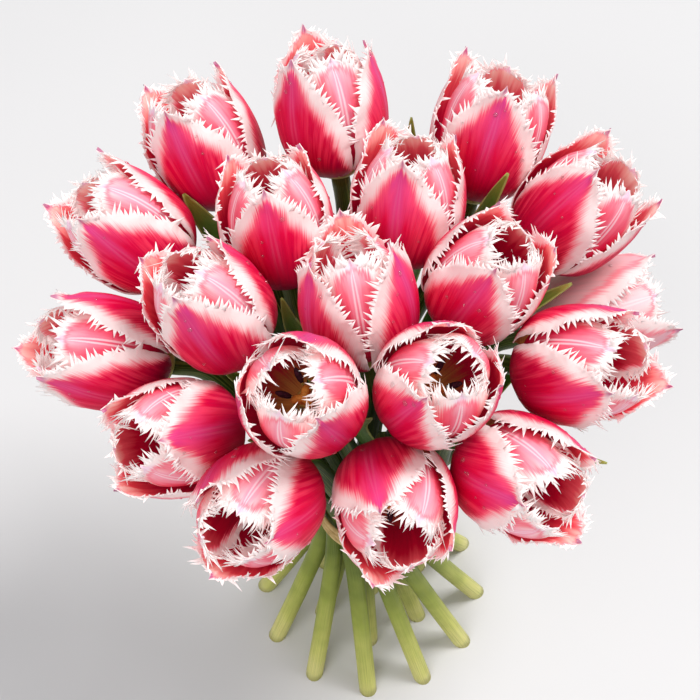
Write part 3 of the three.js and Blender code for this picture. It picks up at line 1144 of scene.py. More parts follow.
OUTER_FORM = TepalForm(
    whorl=Whorl.OUTER,
    profile=((8.0, 0.8), (16.0, 5.0), (22.8, 14.0), (24.9, 27.0), (24.2, 40.0), (21.8, 51.0), (20.6, 60.0)),
    half_width=24.2,
    widest=0.43,
    fullness=0.72,
    crest_fullness=0.85,
    mucro=3.0,
    edge_draw=0.5,
    pinwheel=0.9,
    draws=30,
    needle=(2.4, 6.0),
    tip_needle=3.2,
    spikes=10,
    spike=(3.0, 5.2),
    spike_start=0.6,
    spike_lean=0.4,
    spike_lift=0.9,
    wave=0.8,
    groove=0.5,
)

INNER_FORM = TepalForm(
    whorl=Whorl.INNER,
    profile=((7.0, 3.0), (13.4, 7.8), (19.4, 16.0), (21.5, 28.0), (20.6, 41.0), (17.2, 50.5), (13.0, 56.5)),
    half_width=18.2,
    widest=0.57,
    fullness=0.5,
    crest_fullness=0.5,
    mucro=2.4,
    edge_draw=2.6,
    pinwheel=1.0,
    draws=24,
    needle=(3.0, 7.0),
    tip_needle=7.4,
    spikes=40,
    spike=(3.8, 7.8),
    spike_start=0.7,
    spike_lean=0.5,
    spike_lift=1.2,
    wave=0.6,
    groove=0.7,
)

TEPAL_FORMS = {Whorl.OUTER: OUTER_FORM, Whorl.INNER: INNER_FORM}

ROOT_HALF_WIDTH = 2.2
SHOULDER = 0.2


class Midline(Track):
    """The profile curve of one tepal: distance from the axis and height, by distance along."""

    STEPS = 40

    def __init__(self, form: TepalForm, mouth: float, stretch: float) -> None:
        """Draws the profile for one tepal.

        Args:
            form: The whorl's form.
            mouth: The bloom's radius at its mouth, in mm.
            stretch: How much taller than the form the tepal is, in mm.
        """
        knots = []
        for out, height in form.profile:
            share = height / BLOOM_LENGTH
            wider = (mouth - MOUTH_RADIUS) * share**2
            knots.append((out + wider, height * (1.0 + stretch / BLOOM_LENGTH * share)))
        row = np.array(knots)
        last = len(row) - 1
        t = np.linspace(0.0, 1.0, self.STEPS, endpoint=False)[:, None]
        parts = []
        for step in range(last):
            before, start, end, after = (row[min(max(step + k, 0), last)] for k in (-1, 0, 1, 2))
            parts.append(hermite(start, end, (end - before) / 2.0, (after - start) / 2.0, t))
        super().__init__(np.concatenate([*parts, row[-1:]]))


@dataclass
class TepalTemplate:
    """A flat tepal with its fringe: x is the distance aside, y along, and z 0 or 1 by face.

    The attributes are place (part aside, part along, distance inside the margin in mm), vein (fan,
    run, seed) and face (1 on the lining, needle number, distance out along the needle).
    """

    form: TepalForm
    seed: int
    samples: int = 3001
    columns: int = 12
    row_gap: float = 1.9
    last_half: float = 1.8
    mucro_rows: int = 4
    mucro_taper: float = 1.3
    mucro_last_half: float = 0.12
    fringe_start: float = 0.42
    fan_origin: float = 16.0
    middle: Pair = (0.0, 30.0)
    lobe: float = 0.035
    lobe_waves: tuple[int, ...] = (5, 9, 14)
    lobe_along: tuple[Pair, ...] = ((0.3, 0.5), (1.0, 0.9))
    needle_width: float = 2.1
    # part of the length, and half the width as a part of the foot's
    needle_parts: tuple[Pair, ...] = ((0.45, 0.32), (1.0, 0.0))
    needles_a_cluster: int = 4
    cluster_lean: float = 0.28
    cluster_length: Pair = (0.75, 1.15)
    needle_lean: float = 0.2
    needle_rise: float = 0.25
    rise_along: Pair = (1.0, 0.8)
    tip_along: Pair = (0.9, 1.0)
    fringe_along: Pair = (0.28, 0.52)
    needle_power: float = 1.5
    spike_width: float = 1.15
    spike_power: float = 1.8
    spike_set_back: Pair = (0.3, 1.4)
    spike_sink: float = 0.8
    spike_step: float = 0.02

    def __post_init__(self) -> None:
        """Draws the outline and builds the mesh."""
        self.chance = random.Random(f"{self.form.whorl.value} {self.seed}")
        self.length = Midline(self.form, MOUTH_RADIUS, 0.0).length
        self.shares, self.halves = self._rows()
        self.mesh = self._build(f"tepal template {self.form.whorl.value} {self.seed}")

    def _rows(self) -> tuple[np.ndarray, np.ndarray]:
        """The rows of the blade, evenly spaced round the margin.

        Returns:
            The rows' parts of the length, and their half widths in mm.
        """
        dense = np.linspace(0.0, 1.0, self.samples)
        halves = self.form.half(dense)
        shoulder = float(self.form.half(np.array([SHOULDER]))[0])
        line = ROOT_HALF_WIDTH + (shoulder - ROOT_HALF_WIDTH) * dense / SHOULDER
        halves = np.where(dense < SHOULDER, line, halves)
        top = np.nonzero((halves > self.last_half) & (dense > 0.5))[0][-1]
        dense, halves = dense[: top + 1], halves[: top + 1]
        gaps = np.hypot(np.diff(dense) * self.length, np.diff(halves))
        distance = np.concatenate([[0.0], np.cumsum(gaps)])
        count = round(float(distance[-1]) / self.row_gap)
        shares = np.interp(np.linspace(0.0, distance[-1], count + 1), distance, dense)
        lobes = np.zeros_like(shares)
        for waves in self.lobe_waves:
            phase = self.chance.uniform(0.0, FULL_TURN)
            lobes += np.sin(FULL_TURN * waves * shares + phase) / len(self.lobe_waves)
        lobes *= self.lobe
        for step in self.lobe_along:
            lobes *= smooth(shares, *step)
        steps = np.linspace(0.0, 1.0, self.mucro_rows + 1)[1:]
        mucro_shares = shares[-1] + steps * self.form.mucro / self.length
        mucro_halves = self.last_half * (1.0 - steps) ** self.mucro_taper + self.mucro_last_half
        self.body_rows = len(shares) - 1
        return (
            np.concatenate([shares, mucro_shares]),
            np.concatenate([np.interp(shares, dense, halves) * (1.0 + lobes), mucro_halves]),
        )

    def _build(self, name: str) -> Mesh:
        """The whole template.

        Args:
            name: The mesh's name.

        Returns:
            The flat mesh.
        """
        rows = len(self.shares) - 1
        bm = bmesh.new()
        self.place, self.vein, self.face = new_layers(bm, "place", "vein", "face")
        bmesh.ops.create_grid(bm, x_segments=self.columns, y_segments=rows, size=1.0)
        for vert in bm.verts:
            column = vert.co.x
            row = round((vert.co.y + 1.0) / 2.0 * rows)
            half = self.halves[row]
            vert.co = Vector((column * half, self.shares[row] * self.length, 0.0))
            vert[self.place] = Vector((column, self.shares[row], 0.0))
        self._set_margin(bm)
        self._grow_fringe(bm)
        known = round(max(vert[self.face].y for vert in bm.verts))
        for number in range(self.form.spikes):
            self._grow_spike(bm, known + number + 1)
        for vert in bm.verts:
            across, along, _ = vert.co
            vert[self.vein] = Vector((across / (along + self.fan_origin), along, 0.0))
        bm.normal_update()
        bmesh.ops.reverse_faces(bm, faces=[face for face in bm.faces if face.normal.z < 0])
        bmesh.ops.solidify(bm, geom=list(bm.faces), thickness=1.0)
        lows = min(vert.co.z for vert in bm.verts)
        for vert in bm.verts:
            inside = 1.0 if abs(vert.co.z - lows) < 0.5 else 0.0
            face = vert[self.face]
            vert[self.face] = Vector((inside, face.y, face.z))
            vert.co.z = -inside
        bmesh.ops.recalc_face_normals(bm, faces=bm.faces)
        return mesh_of(bm, name)

    def _grow_spike(self, bm: BMesh, number: int) -> None:
        """One loose spike of the tuft near the tip: its foot is sunk in the blade, its point leaves it.

        Args:
            bm: The template so far.
            number: The spike's own number.
        """
        low, high = self.form.spike_start, self.shares[self.body_rows]
        share = high - (high - low) * self.chance.random() ** self.spike_power
        side = self.chance.choice((-1.0, 1.0))
        ahead = min(share + self.spike_step, high)
        half, rise = (float(np.interp(place, self.shares, self.halves)) for place in (share, ahead))
        outward = Vector((side * self.spike_step * self.length, half - rise, 0.0)).normalized()
        set_back = self.chance.uniform(*self.spike_set_back)
        root = Vector((side * half, share * self.length, 0.0)) - outward * set_back
        outward.rotate(Matrix.Rotation(self.chance.gauss(0.0, self.form.spike_lean), 3, "Z"))
        full = self.chance.uniform(*self.form.spike)
        across = outward.cross(Vector((0.0, 0.0, 1.0))) * self.spike_width
        made = bmesh.ops.create_circle(bm, cap_ends=True, segments=3, radius=1.0)["verts"]
        spots = (root + across, root - across, root + outward * full)
        for vert, spot, out in zip(made, spots, (0.0, 0.0, full)):
            vert.co = spot
            vert[self.place] = Vector((side, share, -self.spike_sink - out))
            vert[self.face] = Vector((0.0, number, out * self.form.spike_lift))

    def _set_margin(self, bm: BMesh) -> None:
        """Writes each point's distance from the margin.

        Args:
            bm: The template so far.
        """
        edge = np.stack([self.halves, self.shares * self.length], axis=1)
        for vert in bm.verts:
            gap = np.hypot(edge[:, 0] - abs(vert.co.x), edge[:, 1] - vert.co.y).min()
            held = vert[self.place]
            vert[self.place] = Vector((held.x, held.y, 0.0 if 1.0 - abs(held.x) < CLOSE else gap))

    def _grow_fringe(self, bm: BMesh) -> None:
        """Grows a needle on each edge of the upper margin.

        Args:
            bm: The template so far.
        """
        rim = [
            edge
            for edge in bm.edges
            if edge.is_boundary
            and min(vert[self.place].y for vert in edge.verts) > self.fringe_start
            and max(vert[self.place].y for vert in edge.verts) < self.shares[self.body_rows] + CLOSE
        ]
        rim.sort(key=self._angle_of)
        lean, boost = 0.0, 1.0
        for number, edge in enumerate(rim):
            if number % self.needles_a_cluster == 0:
                lean = self.chance.gauss(0.0, self.cluster_lean)
                boost = self.chance.uniform(*self.cluster_length)
            self._grow_needle(bm, edge, number + 1, lean, boost)

    def _angle_of(self, edge: BMEdge) -> float:
        """An edge's angle round a point in the middle of the blade."""
        middle = sum((vert.co for vert in edge.verts), Vector()).xy / 2
        return math.atan2(*(middle - Vector(self.middle)))

    def _grow_needle(self, bm: BMesh, edge: BMEdge, number: int, lean: float, boost: float) -> None:
        """One needle: a short wide foot and a long thin point.

        Args:
            bm: The template so far.
            edge: The edge of the margin that it grows from.
            number: The needle's own number.
            lean: How far its cluster leans, in radians.
            boost: How much longer than others its cluster is.
        """
        first, second = edge.verts
        middle = (first.co + second.co) / 2.0
        along = second.co - first.co
        outward = Vector((along.y, -along.x, 0.0)).normalized()
        if outward.dot(middle - Vector((0.0, self.length * 0.5, 0.0))) < 0.0:
            outward.negate()
        share = middle.y / self.length
        side = 1.0 if middle.x > 0.0 else -1.0
        rise = self.needle_rise * smooth(share, *self.rise_along)
        rise = side * (rise + lean + self.chance.gauss(0.0, self.needle_lean))
        outward.rotate(Matrix.Rotation(rise, 3, "Z"))
        short, long = self.form.needle
        full = short + (long - short) * self.chance.random() ** self.needle_power
        full += (self.form.tip_needle - long) * smooth(share, *self.tip_along)
        full *= boost * smooth(share, *self.fringe_along)
        width = along.normalized() * min(along.length, self.needle_width)
        for part, spread in self.needle_parts:
            made = bmesh.ops.extrude_edge_only(bm, edges=[edge])["geom"]
            edge = next(item for item in made if isinstance(item, BMEdge) and item.is_boundary)
            ends = sorted(edge.verts, key=lambda vert: (vert.co - middle).dot(along))
            for vert, way in zip(ends, (-1.0, 1.0)):
                vert.co = middle + outward * full * part + width * spread * way
                vert[self.place] = Vector((side, share, -full * part))
                vert[self.face] = Vector((0.0, number, full * part))
        bmesh.ops.pointmerge(bm, verts=list(edge.verts), merge_co=middle + outward * full)


@lru_cache(maxsize=None)
def template(whorl: Whorl, number: int) -> TepalTemplate:
    """One of a whorl's few templates."""
    return TepalTemplate(TEPAL_FORMS[whorl], number)


@dataclass
class Bloom:
    """Six tepals round a collar: three outer ones and three inner ones between them.

    Lengths are in mm, and turns in degrees.
    """

    index: int
    bunch: Bunch
    whorls: tuple[Whorl, ...] = (Whorl.OUTER, Whorl.INNER) * 3
    templates: int = 5
    middle_thickness: float = 1.1
    margin_thickness: float = 0.35
    point_thickness: float = 0.16
    full_depth: float = 9.0
    thin_depth: float = 3.0
    spread_turn: float = 1.5
    spread_mouth: float = 0.5
    spread_height: float = 1.6
    waves: Pair = (2.6, 3.6)
    wave_shift: float = 1.3
    wave_along: Pair = (0.4, 0.65)
    groove_half: float = 2.4
    groove_along: Pair = (0.1, 0.3)
    needle_tilt: float = 0.34
    seeds: float = 90.0
    # distance out and height
    collar: tuple[Pair, ...] = (
        (4.7, -2.2), (6.4, -2.0), (8.4, -0.9), (9.2, 0.9), (8.2, 3.2), (6.2, 4.9), (4.7, 5.2),
    )
    collar_steps: int = 36

    def __post_init__(self) -> None:
        """Finds the flower and starts its random draws."""
        self.flower = FLOWERS[self.index]
        self.matrix = self.flower.matrix()
        self.chance = FlowerChance(self.index + 1)
        self.look = random.Random(f"bloom {self.index}")

    def _sheet(self, form: TepalForm, mould: TepalTemplate, turn: float, midline: Midline) -> np.ndarray:
        """The template's points laid on this tepal's curved sheet, in the bunch.

        Args:
            form: The whorl's form.
            mould: The template.
            turn: The tepal's turn round the bloom's axis, in degrees.
            midline: The tepal's profile.

        Returns:
            The points, in metres in the frame.
        """
        flat = coordinates(mould.mesh)
        place, face = vectors_of(mould.mesh, "place"), vectors_of(mould.mesh, "face")
        aside = flat[:, 0]
        along = flat[:, 1] * midline.length / mould.length
        share, margin = place[:, 1], place[:, 2]
        inside = -flat[:, 2]
        inner, outer = smooth(margin, 0.0, self.full_depth), smooth(-margin, 0.0, self.thin_depth)
        thickness = self.margin_thickness + (self.middle_thickness - self.margin_thickness) * inner
        thickness += (self.point_thickness - self.margin_thickness) * outer
        off = (0.5 - inside) * thickness
        phase = self.look.uniform(0.0, FULL_TURN)
        waves = self.look.uniform(*self.waves)
        turns = FULL_TURN * waves * share + phase + np.sign(aside) * self.wave_shift
        edge = smooth(margin, self.full_depth, 0.0) * smooth(share, *self.wave_along)
        off += form.wave * edge * np.sin(turns)
        groove = np.exp(-((aside / self.groove_half) ** 2)) * smooth(share, *self.groove_along)
        off -= form.groove * groove
        number = face[:, 1].astype(int)
        tilts = np.array([self.look.gauss(0.0, self.needle_tilt) for _ in range(number.max() + 1)])
        off += tilts[number] * face[:, 2]
        held = np.clip(along, 0.0, midline.length)
        middle, heading = midline.reach(held)
        beyond = along - held
        across = np.abs(aside) / form.half_width
        draw = form.edge_draw * across**2 - form.pinwheel * aside / form.half_width
        out = middle[:, 0] + heading[:, 0] * beyond - draw + heading[:, 1] * off
        height = middle[:, 1] + heading[:, 1] * beyond - heading[:, 0] * off
        angle = aside / middle[:, 0] + math.radians(turn)
        points = np.stack([out * np.cos(angle), out * np.sin(angle), height], axis=1)
        return self.bunch.metres(moved(points, self.matrix))

    def _collar(self, bm: BMesh) -> None:
        """The receptacle: a rounded section spun round the axis.

        Args:
            bm: An empty bmesh.
        """
        section = [bm.verts.new((out, 0.0, height)) for out, height in self.collar]
        edges = [bm.edges.new(pair) for pair in zip(section, section[1:] + section[:1])]
        spin(bm, [*section, *edges], self.collar_steps)
        bmesh.ops.recalc_face_normals(bm, faces=bm.faces)
        for face in bm.faces:
            face.material_index = BloomPart.COLLAR

    def build(self, finishes: list[Material]) -> Object:
        """Makes the bloom's piece.

        Args:
            finishes: The materials of the piece, in the order of its faces' numbers.

        Returns:
            The bloom's object.
        """
        bm = bmesh.new()
        self._collar(bm)
        collar = mesh_of(bm, "collar")
        self.bunch.settle(collar, self.matrix)
        bm = bmesh.new()
        pour(bm, collar)
        for side, whorl in enumerate(self.whorls):
            form = TEPAL_FORMS[whorl]
            mould = template(whorl, self.look.randrange(self.templates))
            mouth = self.flower.mouth + self.chance.vary(self.spread_mouth)
            midline = Midline(form, mouth, self.chance.vary(self.spread_height))
            turn = 360.0 / len(self.whorls) * side + self.chance.vary(self.spread_turn)
            self.chance.skip(form.draws)
            mesh = mould.mesh.copy()
            vein = vectors_of(mesh, "vein")
            vein[:, 2] = self.look.uniform(0.0, self.seeds)
            set_coordinates(mesh, self._sheet(form, mould, turn, midline))
            mesh.attributes["vein"].data.foreach_set("vector", vein.ravel())
            mesh.polygons.foreach_set("material_index", [BloomPart[whorl.name]] * len(mesh.polygons))
            pour(bm, mesh)
        name = f"bloom_{self.index + 1:02d}"
        mesh = mesh_of(bm, name)
        pale = mesh.attributes.new("pale", "FLOAT_VECTOR", "POINT")
        pale.data.foreach_set("vector", [self.flower.pale] * 3 * len(mesh.vertices))
        return piece(f"tepals_{self.index + 1:02d}", mesh, finishes, name)


# ---- dew


@dataclass
class DewDrops:
    """Small drops of water that stand on the outer faces of the outer tepals."""

    per_bloom: int = 20
    radius: Pair = (0.5, 1.3)
    height: float = 0.5
    from_margin: float = 2.0
    from_share: float = 0.35
    sides: int = 12
    rings: int = 6

    def __post_init__(self) -> None:
        """Starts the random draws."""
        self.look = random.Random("dew")

    def _spots(self, mesh: Mesh) -> list[MeshPolygon]:
        """The faces of a bloom where a drop may stand.

        Args:
            mesh: The bloom's mesh.

        Returns:
            The faces.
        """
        place, face = vectors_of(mesh, "place"), vectors_of(mesh, "face")
        good = (place[:, 2] > self.from_margin) & (place[:, 1] > self.from_share) & (face[:, 0] < 0.5)
        corners = np.empty(len(mesh.loops), dtype=int)
        mesh.loops.foreach_get("vertex_index", corners)
        starts, finishes = np.empty((2, len(mesh.polygons)), dtype=int)
        mesh.polygons.foreach_get("loop_start", starts)
        mesh.polygons.foreach_get("material_index", finishes)
        whole = np.logical_and.reduceat(good[corners], starts) & (finishes == BloomPart.OUTER)
        return [mesh.polygons[int(number)] for number in np.nonzero(whole)[0]]

    def build(self, blooms: list[Object], finish: Material) -> Object:
        """Makes all the drops as one piece.

        Args:
            blooms: The blooms that the drops stand on.
            finish: The look of water.

        Returns:
            The drops' object.
        """
        bm = bmesh.new()
        small, large = (radius * MM for radius in self.radius)
        for bloom in blooms:
            drops = bmesh.new()
            for spot in self.look.sample(self._spots(bloom.data), self.per_bloom):
                radius = small + (large - small) * self.look.random() ** 2
                turn = spot.normal.to_track_quat("Z", "Y").to_matrix().to_4x4()
                size = Matrix.Diagonal((radius, radius, radius * self.height, 1.0))
                matrix = Matrix.Translation(spot.center) @ turn @ size
                bmesh.ops.create_uvsphere(
                    drops, u_segments=self.sides, v_segments=self.rings, radius=1.0, matrix=matrix
                )
            join(bm, drops, 0)
        bmesh.ops.recalc_face_normals(bm, faces=bm.faces)
        return piece("dew_drops", mesh_of(bm, "dew drops"), [finish], None)


# ---- stems with the heart of the flower


class StemPart(IntEnum):
    """The numbers of a stem's faces, in the order of its finishes."""

    SHAFT = 0
    OVARY = 1
    STIGMA = 2
    PITH = 3
    ANTHER = 4


def bunch_centre(z: float) -> np.ndarray:
    """The middle of the bunch at a height."""
    share = z / WAIST_Z
    return np.array([foot + (waist - foot) * share for foot, waist in zip(FOOT_CENTRE, WAIST_CENTRE)])


def spiral_point(index: int, z: float) -> np.ndarray:
    """A stem's point at a height, on the spiral that every stem of the bunch shares.

    Args:
        index: The stem's number, from 0 in the middle.
        z: The height, in mm.

    Returns:
        The point.
    """
    if index == 0:
        radius, angle = 0.0, 0.0
    elif index <= INNER_RING_COUNT:
        radius, angle = STEM_PITCH, FIRST_SLOT + 360.0 / INNER_RING_COUNT * (index - 1) - HEAD_TWIST
    else:
        radius = STEM_PITCH * OUTER_RING
        angle = FIRST_SLOT + 360.0 / OUTER_RING_COUNT * (index - 1 - INNER_RING_COUNT) - HEAD_TWIST
    rise = (z - WAIST_Z) / SPLAY_LENGTH
    full_turn = math.atan((WAIST_Z if z < WAIST_Z else HEAD_Z - WAIST_Z) / SPLAY_LENGTH)
    twist = (FOOT_TWIST if z < WAIST_Z else HEAD_TWIST) * abs(math.atan(rise)) / full_turn
    turned = math.radians(angle + twist)
    out = radius * math.sqrt(1.0 + rise * rise)
    x, y = bunch_centre(z)
    return np.array([x + out * math.cos(turned), y + out * math.sin(turned), z])


def stem_curve(index: int) -> SpaceCurve:
    """A stem's middle line from the table to the bloom's collar.

    Args:
        index: The stem's number.

    Returns:
        The curve.
    """
    matrix = FLOWERS[index].matrix()
    neck = [np.array(matrix @ Vector((0.0, 0.0, height))) for height in (-NECK_LENGTH, NECK_TOP)]
    return SpaceCurve(np.array([*(spiral_point(index, z) for z in SPIRAL_HEIGHTS), *neck]))


def unit_tube(sides: int, rings: int) -> BMesh:
    """A closed tube of radius 1 from height 0 to 1, cut into rings.

    Args:
        sides: How many sides it has.
        rings: How many rings it is cut into.

    Returns:
        The tube.
    """
    bm = bmesh.new()
    middle = Matrix.Translation((0.0, 0.0, 0.5))
    bmesh.ops.create_cone(
        bm, cap_ends=True, segments=sides, radius1=1.0, radius2=1.0, depth=1.0, matrix=middle
    )
    upright = [edge for edge in bm.edges if abs(edge.verts[0].co.z - edge.verts[1].co.z) > 0.5]
    bmesh.ops.subdivide_edges(bm, edges=upright, cuts=rings - 1, use_grid_fill=True)
    return bm


def join(bm: BMesh, part: BMesh, number: int) -> None:
    """Adds a part, all of one material number, and frees it.

    Args:
        bm: The bmesh that grows.
        part: The part.
        number: The part's material number.
    """
    for face in part.faces:
        face.material_index = number
    pour(bm, mesh_of(part, "part"))


@dataclass
class Stem:
    """A stem from its cut end to the bloom, with the flower's pistil and stamens.

    Lengths are in mm, and turns in degrees.
    """

    index: int
    bunch: Bunch
    sides: int = 16
    rings: int = 64
    foot_radius: float = 4.8
    neck_radius: float = 4.3
    ridge: float = 0.012
    ridges: float = 3.0
    ridge_drift: float = 2.0
    # height and radius
    pistil: tuple[Pair, ...] = (
        (-3.2, 4.3), (3.0, 4.25), (6.0, 4.1), (9.0, 3.5), (15.0, 3.6), (20.5, 3.5), (22.5, 3.1),
    )
    # height, radius and how far its lobes stand out
    stigma: tuple[Place, ...] = (
        (22.0, 2.9, 0.0), (23.2, 3.6, 0.9), (24.6, 4.1, 1.6), (26.0, 3.4, 1.3), (27.2, 1.6, 0.5),
    )
    stigma_sides: int = 36
    lobes: float = 3.0
    lobe_set_back: float = 0.25
    lobe_rise: float = 0.5
    # distance out and height of its root, its bend and its tip
    stamen: tuple[Pair, ...] = ((3.7, 6.0), (6.6, 15.0), (13.4, 21.5))
    anther_half: Pair = (1.4, 4.2)
    anther_flatness: float = 0.8
    anther_lift: float = 1.1
    stamens: int = 6
    stamen_turn: float = 6.0
    stamen_lean: float = 0.8
    # radius at the root, and how much is lost towards the bend
    filament: Pair = (0.75, 0.3)
    filament_reach: float = 1.15
    filament_sides: int = 6
    anther_sides: int = 8
    anther_rings: int = 6
    margin: float = 4.0
    vein_fan: float = 0.16
    vein_run: float = 200.0
    seeds: float = 90.0

    def __post_init__(self) -> None:
        """Finds the stem's line and starts its random draws."""
        self.matrix = FLOWERS[self.index].matrix()
        self.curve = stem_curve(self.index)
        self.look = random.Random(f"stem {self.index}")

    def _shaft(self) -> Mesh:
        """The stem itself.

        Returns:
            The shaft's mesh, in metres in the frame.
        """
        bm = unit_tube(self.sides, self.rings)
        place, vein = new_layers(bm, "place", "vein")
        verts = list(bm.verts)
        for face in bm.faces:
            face.material_index = StemPart.SHAFT if abs(face.normal.z) < 0.5 else StemPart.PITH
        shares = np.array([vert.co.z for vert in verts])
        angles = np.array([math.atan2(vert.co.y, vert.co.x) for vert in verts])
        steps = np.linspace(0.0, 1.0, self.rings + 1)
        points, across, other = self.curve.frames(steps)
        rows = np.rint(shares * self.rings).astype(int)
        radius = self.foot_radius + (self.neck_radius - self.foot_radius) * shares
        phase = self.look.uniform(0.0, FULL_TURN)
        radius *= 1.0 + self.ridge * np.cos(self.ridges * angles + phase + self.ridge_drift * shares)
        places = points[rows] + across[rows] * (radius * np.cos(angles))[:, None]
        places += other[rows] * (radius * np.sin(angles))[:, None]
        _, heading = self.curve.at(np.zeros(1))
        foot = rows == 0
        places[foot] -= heading[0] * (places[foot, 2:] / heading[0][2])
        seed = self.look.uniform(0.0, self.seeds)
        for vert, spot, share, angle in zip(verts, self.bunch.metres(places), shares, angles):
            vert.co = Vector(spot)
            vert[place] = Vector((0.0, share, self.margin))
            fan, run = math.cos(angle) * self.vein_fan, share * self.vein_run
            vert[vein] = Vector((fan, run, seed + math.sin(angle)))
        bmesh.ops.recalc_face_normals(bm, faces=bm.faces)
        return mesh_of(bm, "shaft")

    def _pistil(self, bm: BMesh) -> None:
        """The ovary and the three-lobed stigma, upright on the bloom's axis.

        Args:
            bm: The heart so far.
        """
        ovary = [(height, radius, 0.0) for height, radius in self.pistil]
        for rows, sides, number in (
            (ovary, self.stigma_sides // 2, StemPart.OVARY),
            (self.stigma, self.stigma_sides, StemPart.STIGMA),
        ):
            part = unit_tube(sides, len(rows) - 1)
            for vert in part.verts:
                height, radius, lobe = rows[round(vert.co.z * (len(rows) - 1))]
                angle = math.atan2(vert.co.y, vert.co.x)
                swell = math.cos(self.lobes * angle)
                out = radius + lobe * (swell - self.lobe_set_back)
                height += self.lobe_rise * lobe * swell
                vert.co = Vector((out * math.cos(angle), out * math.sin(angle), height))
            join(bm, part, number)

    def _stamens(self, bm: BMesh) -> None:
        """Six filaments with long dark anthers.

        Args:
            bm: The heart so far.
        """
        wide, tall = self.anther_half
        size = Matrix.Diagonal((wide, wide * self.anther_flatness, tall, 1.0))
        for step in range(self.stamens):
            turned = self.look.uniform(-self.stamen_turn, self.stamen_turn)
            angle = math.radians(360.0 / self.stamens * (step + 0.5) + turned)
            way = Vector((math.cos(angle), math.sin(angle), 0.0))
            lean = self.look.uniform(-self.stamen_lean, self.stamen_lean)
            root, bend, tip = (
                way * (out + loose) + Vector((0.0, 0.0, height))
                for (out, height), loose in zip(self.stamen, (0.0, lean, lean))
            )
            part = unit_tube(self.filament_sides, 2)
            for vert in part.verts:
                share = vert.co.z
                thick = self.filament[0] - self.filament[1] * share
                spot = root.lerp(bend, share * self.filament_reach)
                vert.co = spot + Vector((vert.co.x * thick, vert.co.y * thick, 0.0))
            join(bm, part, StemPart.OVARY)
            part = bmesh.new()
            axis = (tip - bend).normalized()
            turn = axis.to_track_quat("Z", "Y").to_matrix().to_4x4()
            matrix = Matrix.Translation(bend + axis * tall * self.anther_lift) @ turn @ size
            bmesh.ops.create_uvsphere(
                part, u_segments=self.anther_sides, v_segments=self.anther_rings, radius=1.0, matrix=matrix
            )
            join(bm, part, StemPart.ANTHER)

    def build(self, finishes: list[Material]) -> Object:
        """Makes the stem's piece, with the flower's heart.

        Args:
            finishes: The materials of the piece, in the order of its faces' numbers.

        Returns:
            The stem's object.
        """
        shaft = self._shaft()
        bm = bmesh.new()
        new_layers(bm, "place", "vein")
        self._pistil(bm)
        self._stamens(bm)
        bmesh.ops.recalc_face_normals(bm, faces=bm.faces)
        heart = mesh_of(bm, "heart")
        self.bunch.settle(heart, self.matrix)
        bm = bmesh.new()
        for mesh in (shaft, heart):
            pour(bm, mesh)
        name = f"stem_{self.index + 1:02d}"
        return piece(f"stalk_{self.index + 1:02d}", mesh_of(bm, name), finishes, name)


# ---- leaves


@dataclass(frozen=True)
class LeafForm:
    """One leaf: its stem's number, where it leaves it, its width, the way it faces and its midrib."""

    stem: int
    height: float
    width: float
    face: Place
    midrib: tuple[Place, ...]


LEAVES = (
    LeafForm(
        13, 178, 20, (-0.3, -0.7, 0.7),
        ((-36, 36, 212), (-46, 50, 235), (-55, 59, 254), (-65, 63, 271), (-73, 65, 286)),
    ),
    LeafForm(
        10, 174, 13, (0, -0.9, 0.4),
        ((12, 46, 205), (18, 62, 230), (24, 81, 258), (27, 92, 280), (27, 97, 300)),
    ),
    LeafForm(
        9, 174, 15, (0.2, -0.9, 0.5),
        ((35, 41, 205), (49, 53, 230), (54, 59, 256), (60, 61, 282), (68, 65, 300)),
    ),
    LeafForm(
        18, 178, 12, (-0.3, 0.4, 0.9),
        ((46, -14, 205), (64, -28, 224), (78, -36, 236), (91, -44, 246), (106, -52, 255)),
    ),
    LeafForm(
        5, 172, 13, (0.4, -0.8, 0.4),
        ((-8, 7, 205), (-14, 10, 228), (-21, 12, 248), (-26, 12, 265), (-29, 13, 281)),
    ),
    LeafForm(
        2, 174, 12, (-0.4, -0.3, 0.9),
        ((44, 7, 208), (51, 13, 230), (60, 16, 248), (76, 20, 262), (96, 27, 272)),
    ),
    LeafForm(
        16, 164, 12, (0.5, 0.4, 0.8),
        ((-13, -29, 200), (-24, -31, 221), (-33, -33, 238), (-38, -38, 249), (-42, -43, 258)),
    ),
    LeafForm(
        7, 168, 13, (0.3, 0.6, 0.8),
        ((9, -17, 205), (5, -24, 228), (3, -31, 249), (6, -36, 262), (9, -40, 272)),
    ),
    LeafForm(
        18, 160, 14, (-0.2, 0.6, 0.8),
        ((29, -25, 205), (31, -29, 226), (33, -35, 242), (35, -40, 251), (36, -45, 259)),
    ),
    LeafForm(
        2, 160, 17, (-0.6, 0.2, 0.8),
        ((35, -5, 202), (44, -8, 228), (54, -9, 249), (59, -10, 260), (64, -11, 271)),
    ),
    LeafForm(
        12, 172, 16, (0.2, 0.8, 0.5),
        ((-12, 37, 196), (-18, 54, 218), (-24, 70, 240), (-28, 83, 261), (-30, 93, 280)),
    ),
    LeafForm(
        10, 165, 13, (0.8, -0.7, 0.3),
        ((16, 50, 192), (21, 56, 206), (27, 62, 220), (32, 66, 234), (35, 69, 248)),
    ),
    LeafForm(
        8, 165, 13, (-0.3, -0.4, 0.9),
        ((50, 2, 190), (58, 6, 204), (66, 9, 217), (74, 10, 229), (80, 9, 239)),
    ),
    LeafForm(
        14, 165, 12, (0.4, -0.2, 0.9),
        ((-25, 1, 190), (-32, 2, 205), (-41, 3, 218), (-49, 4, 229), (-56, 3, 240)),
    ),
)


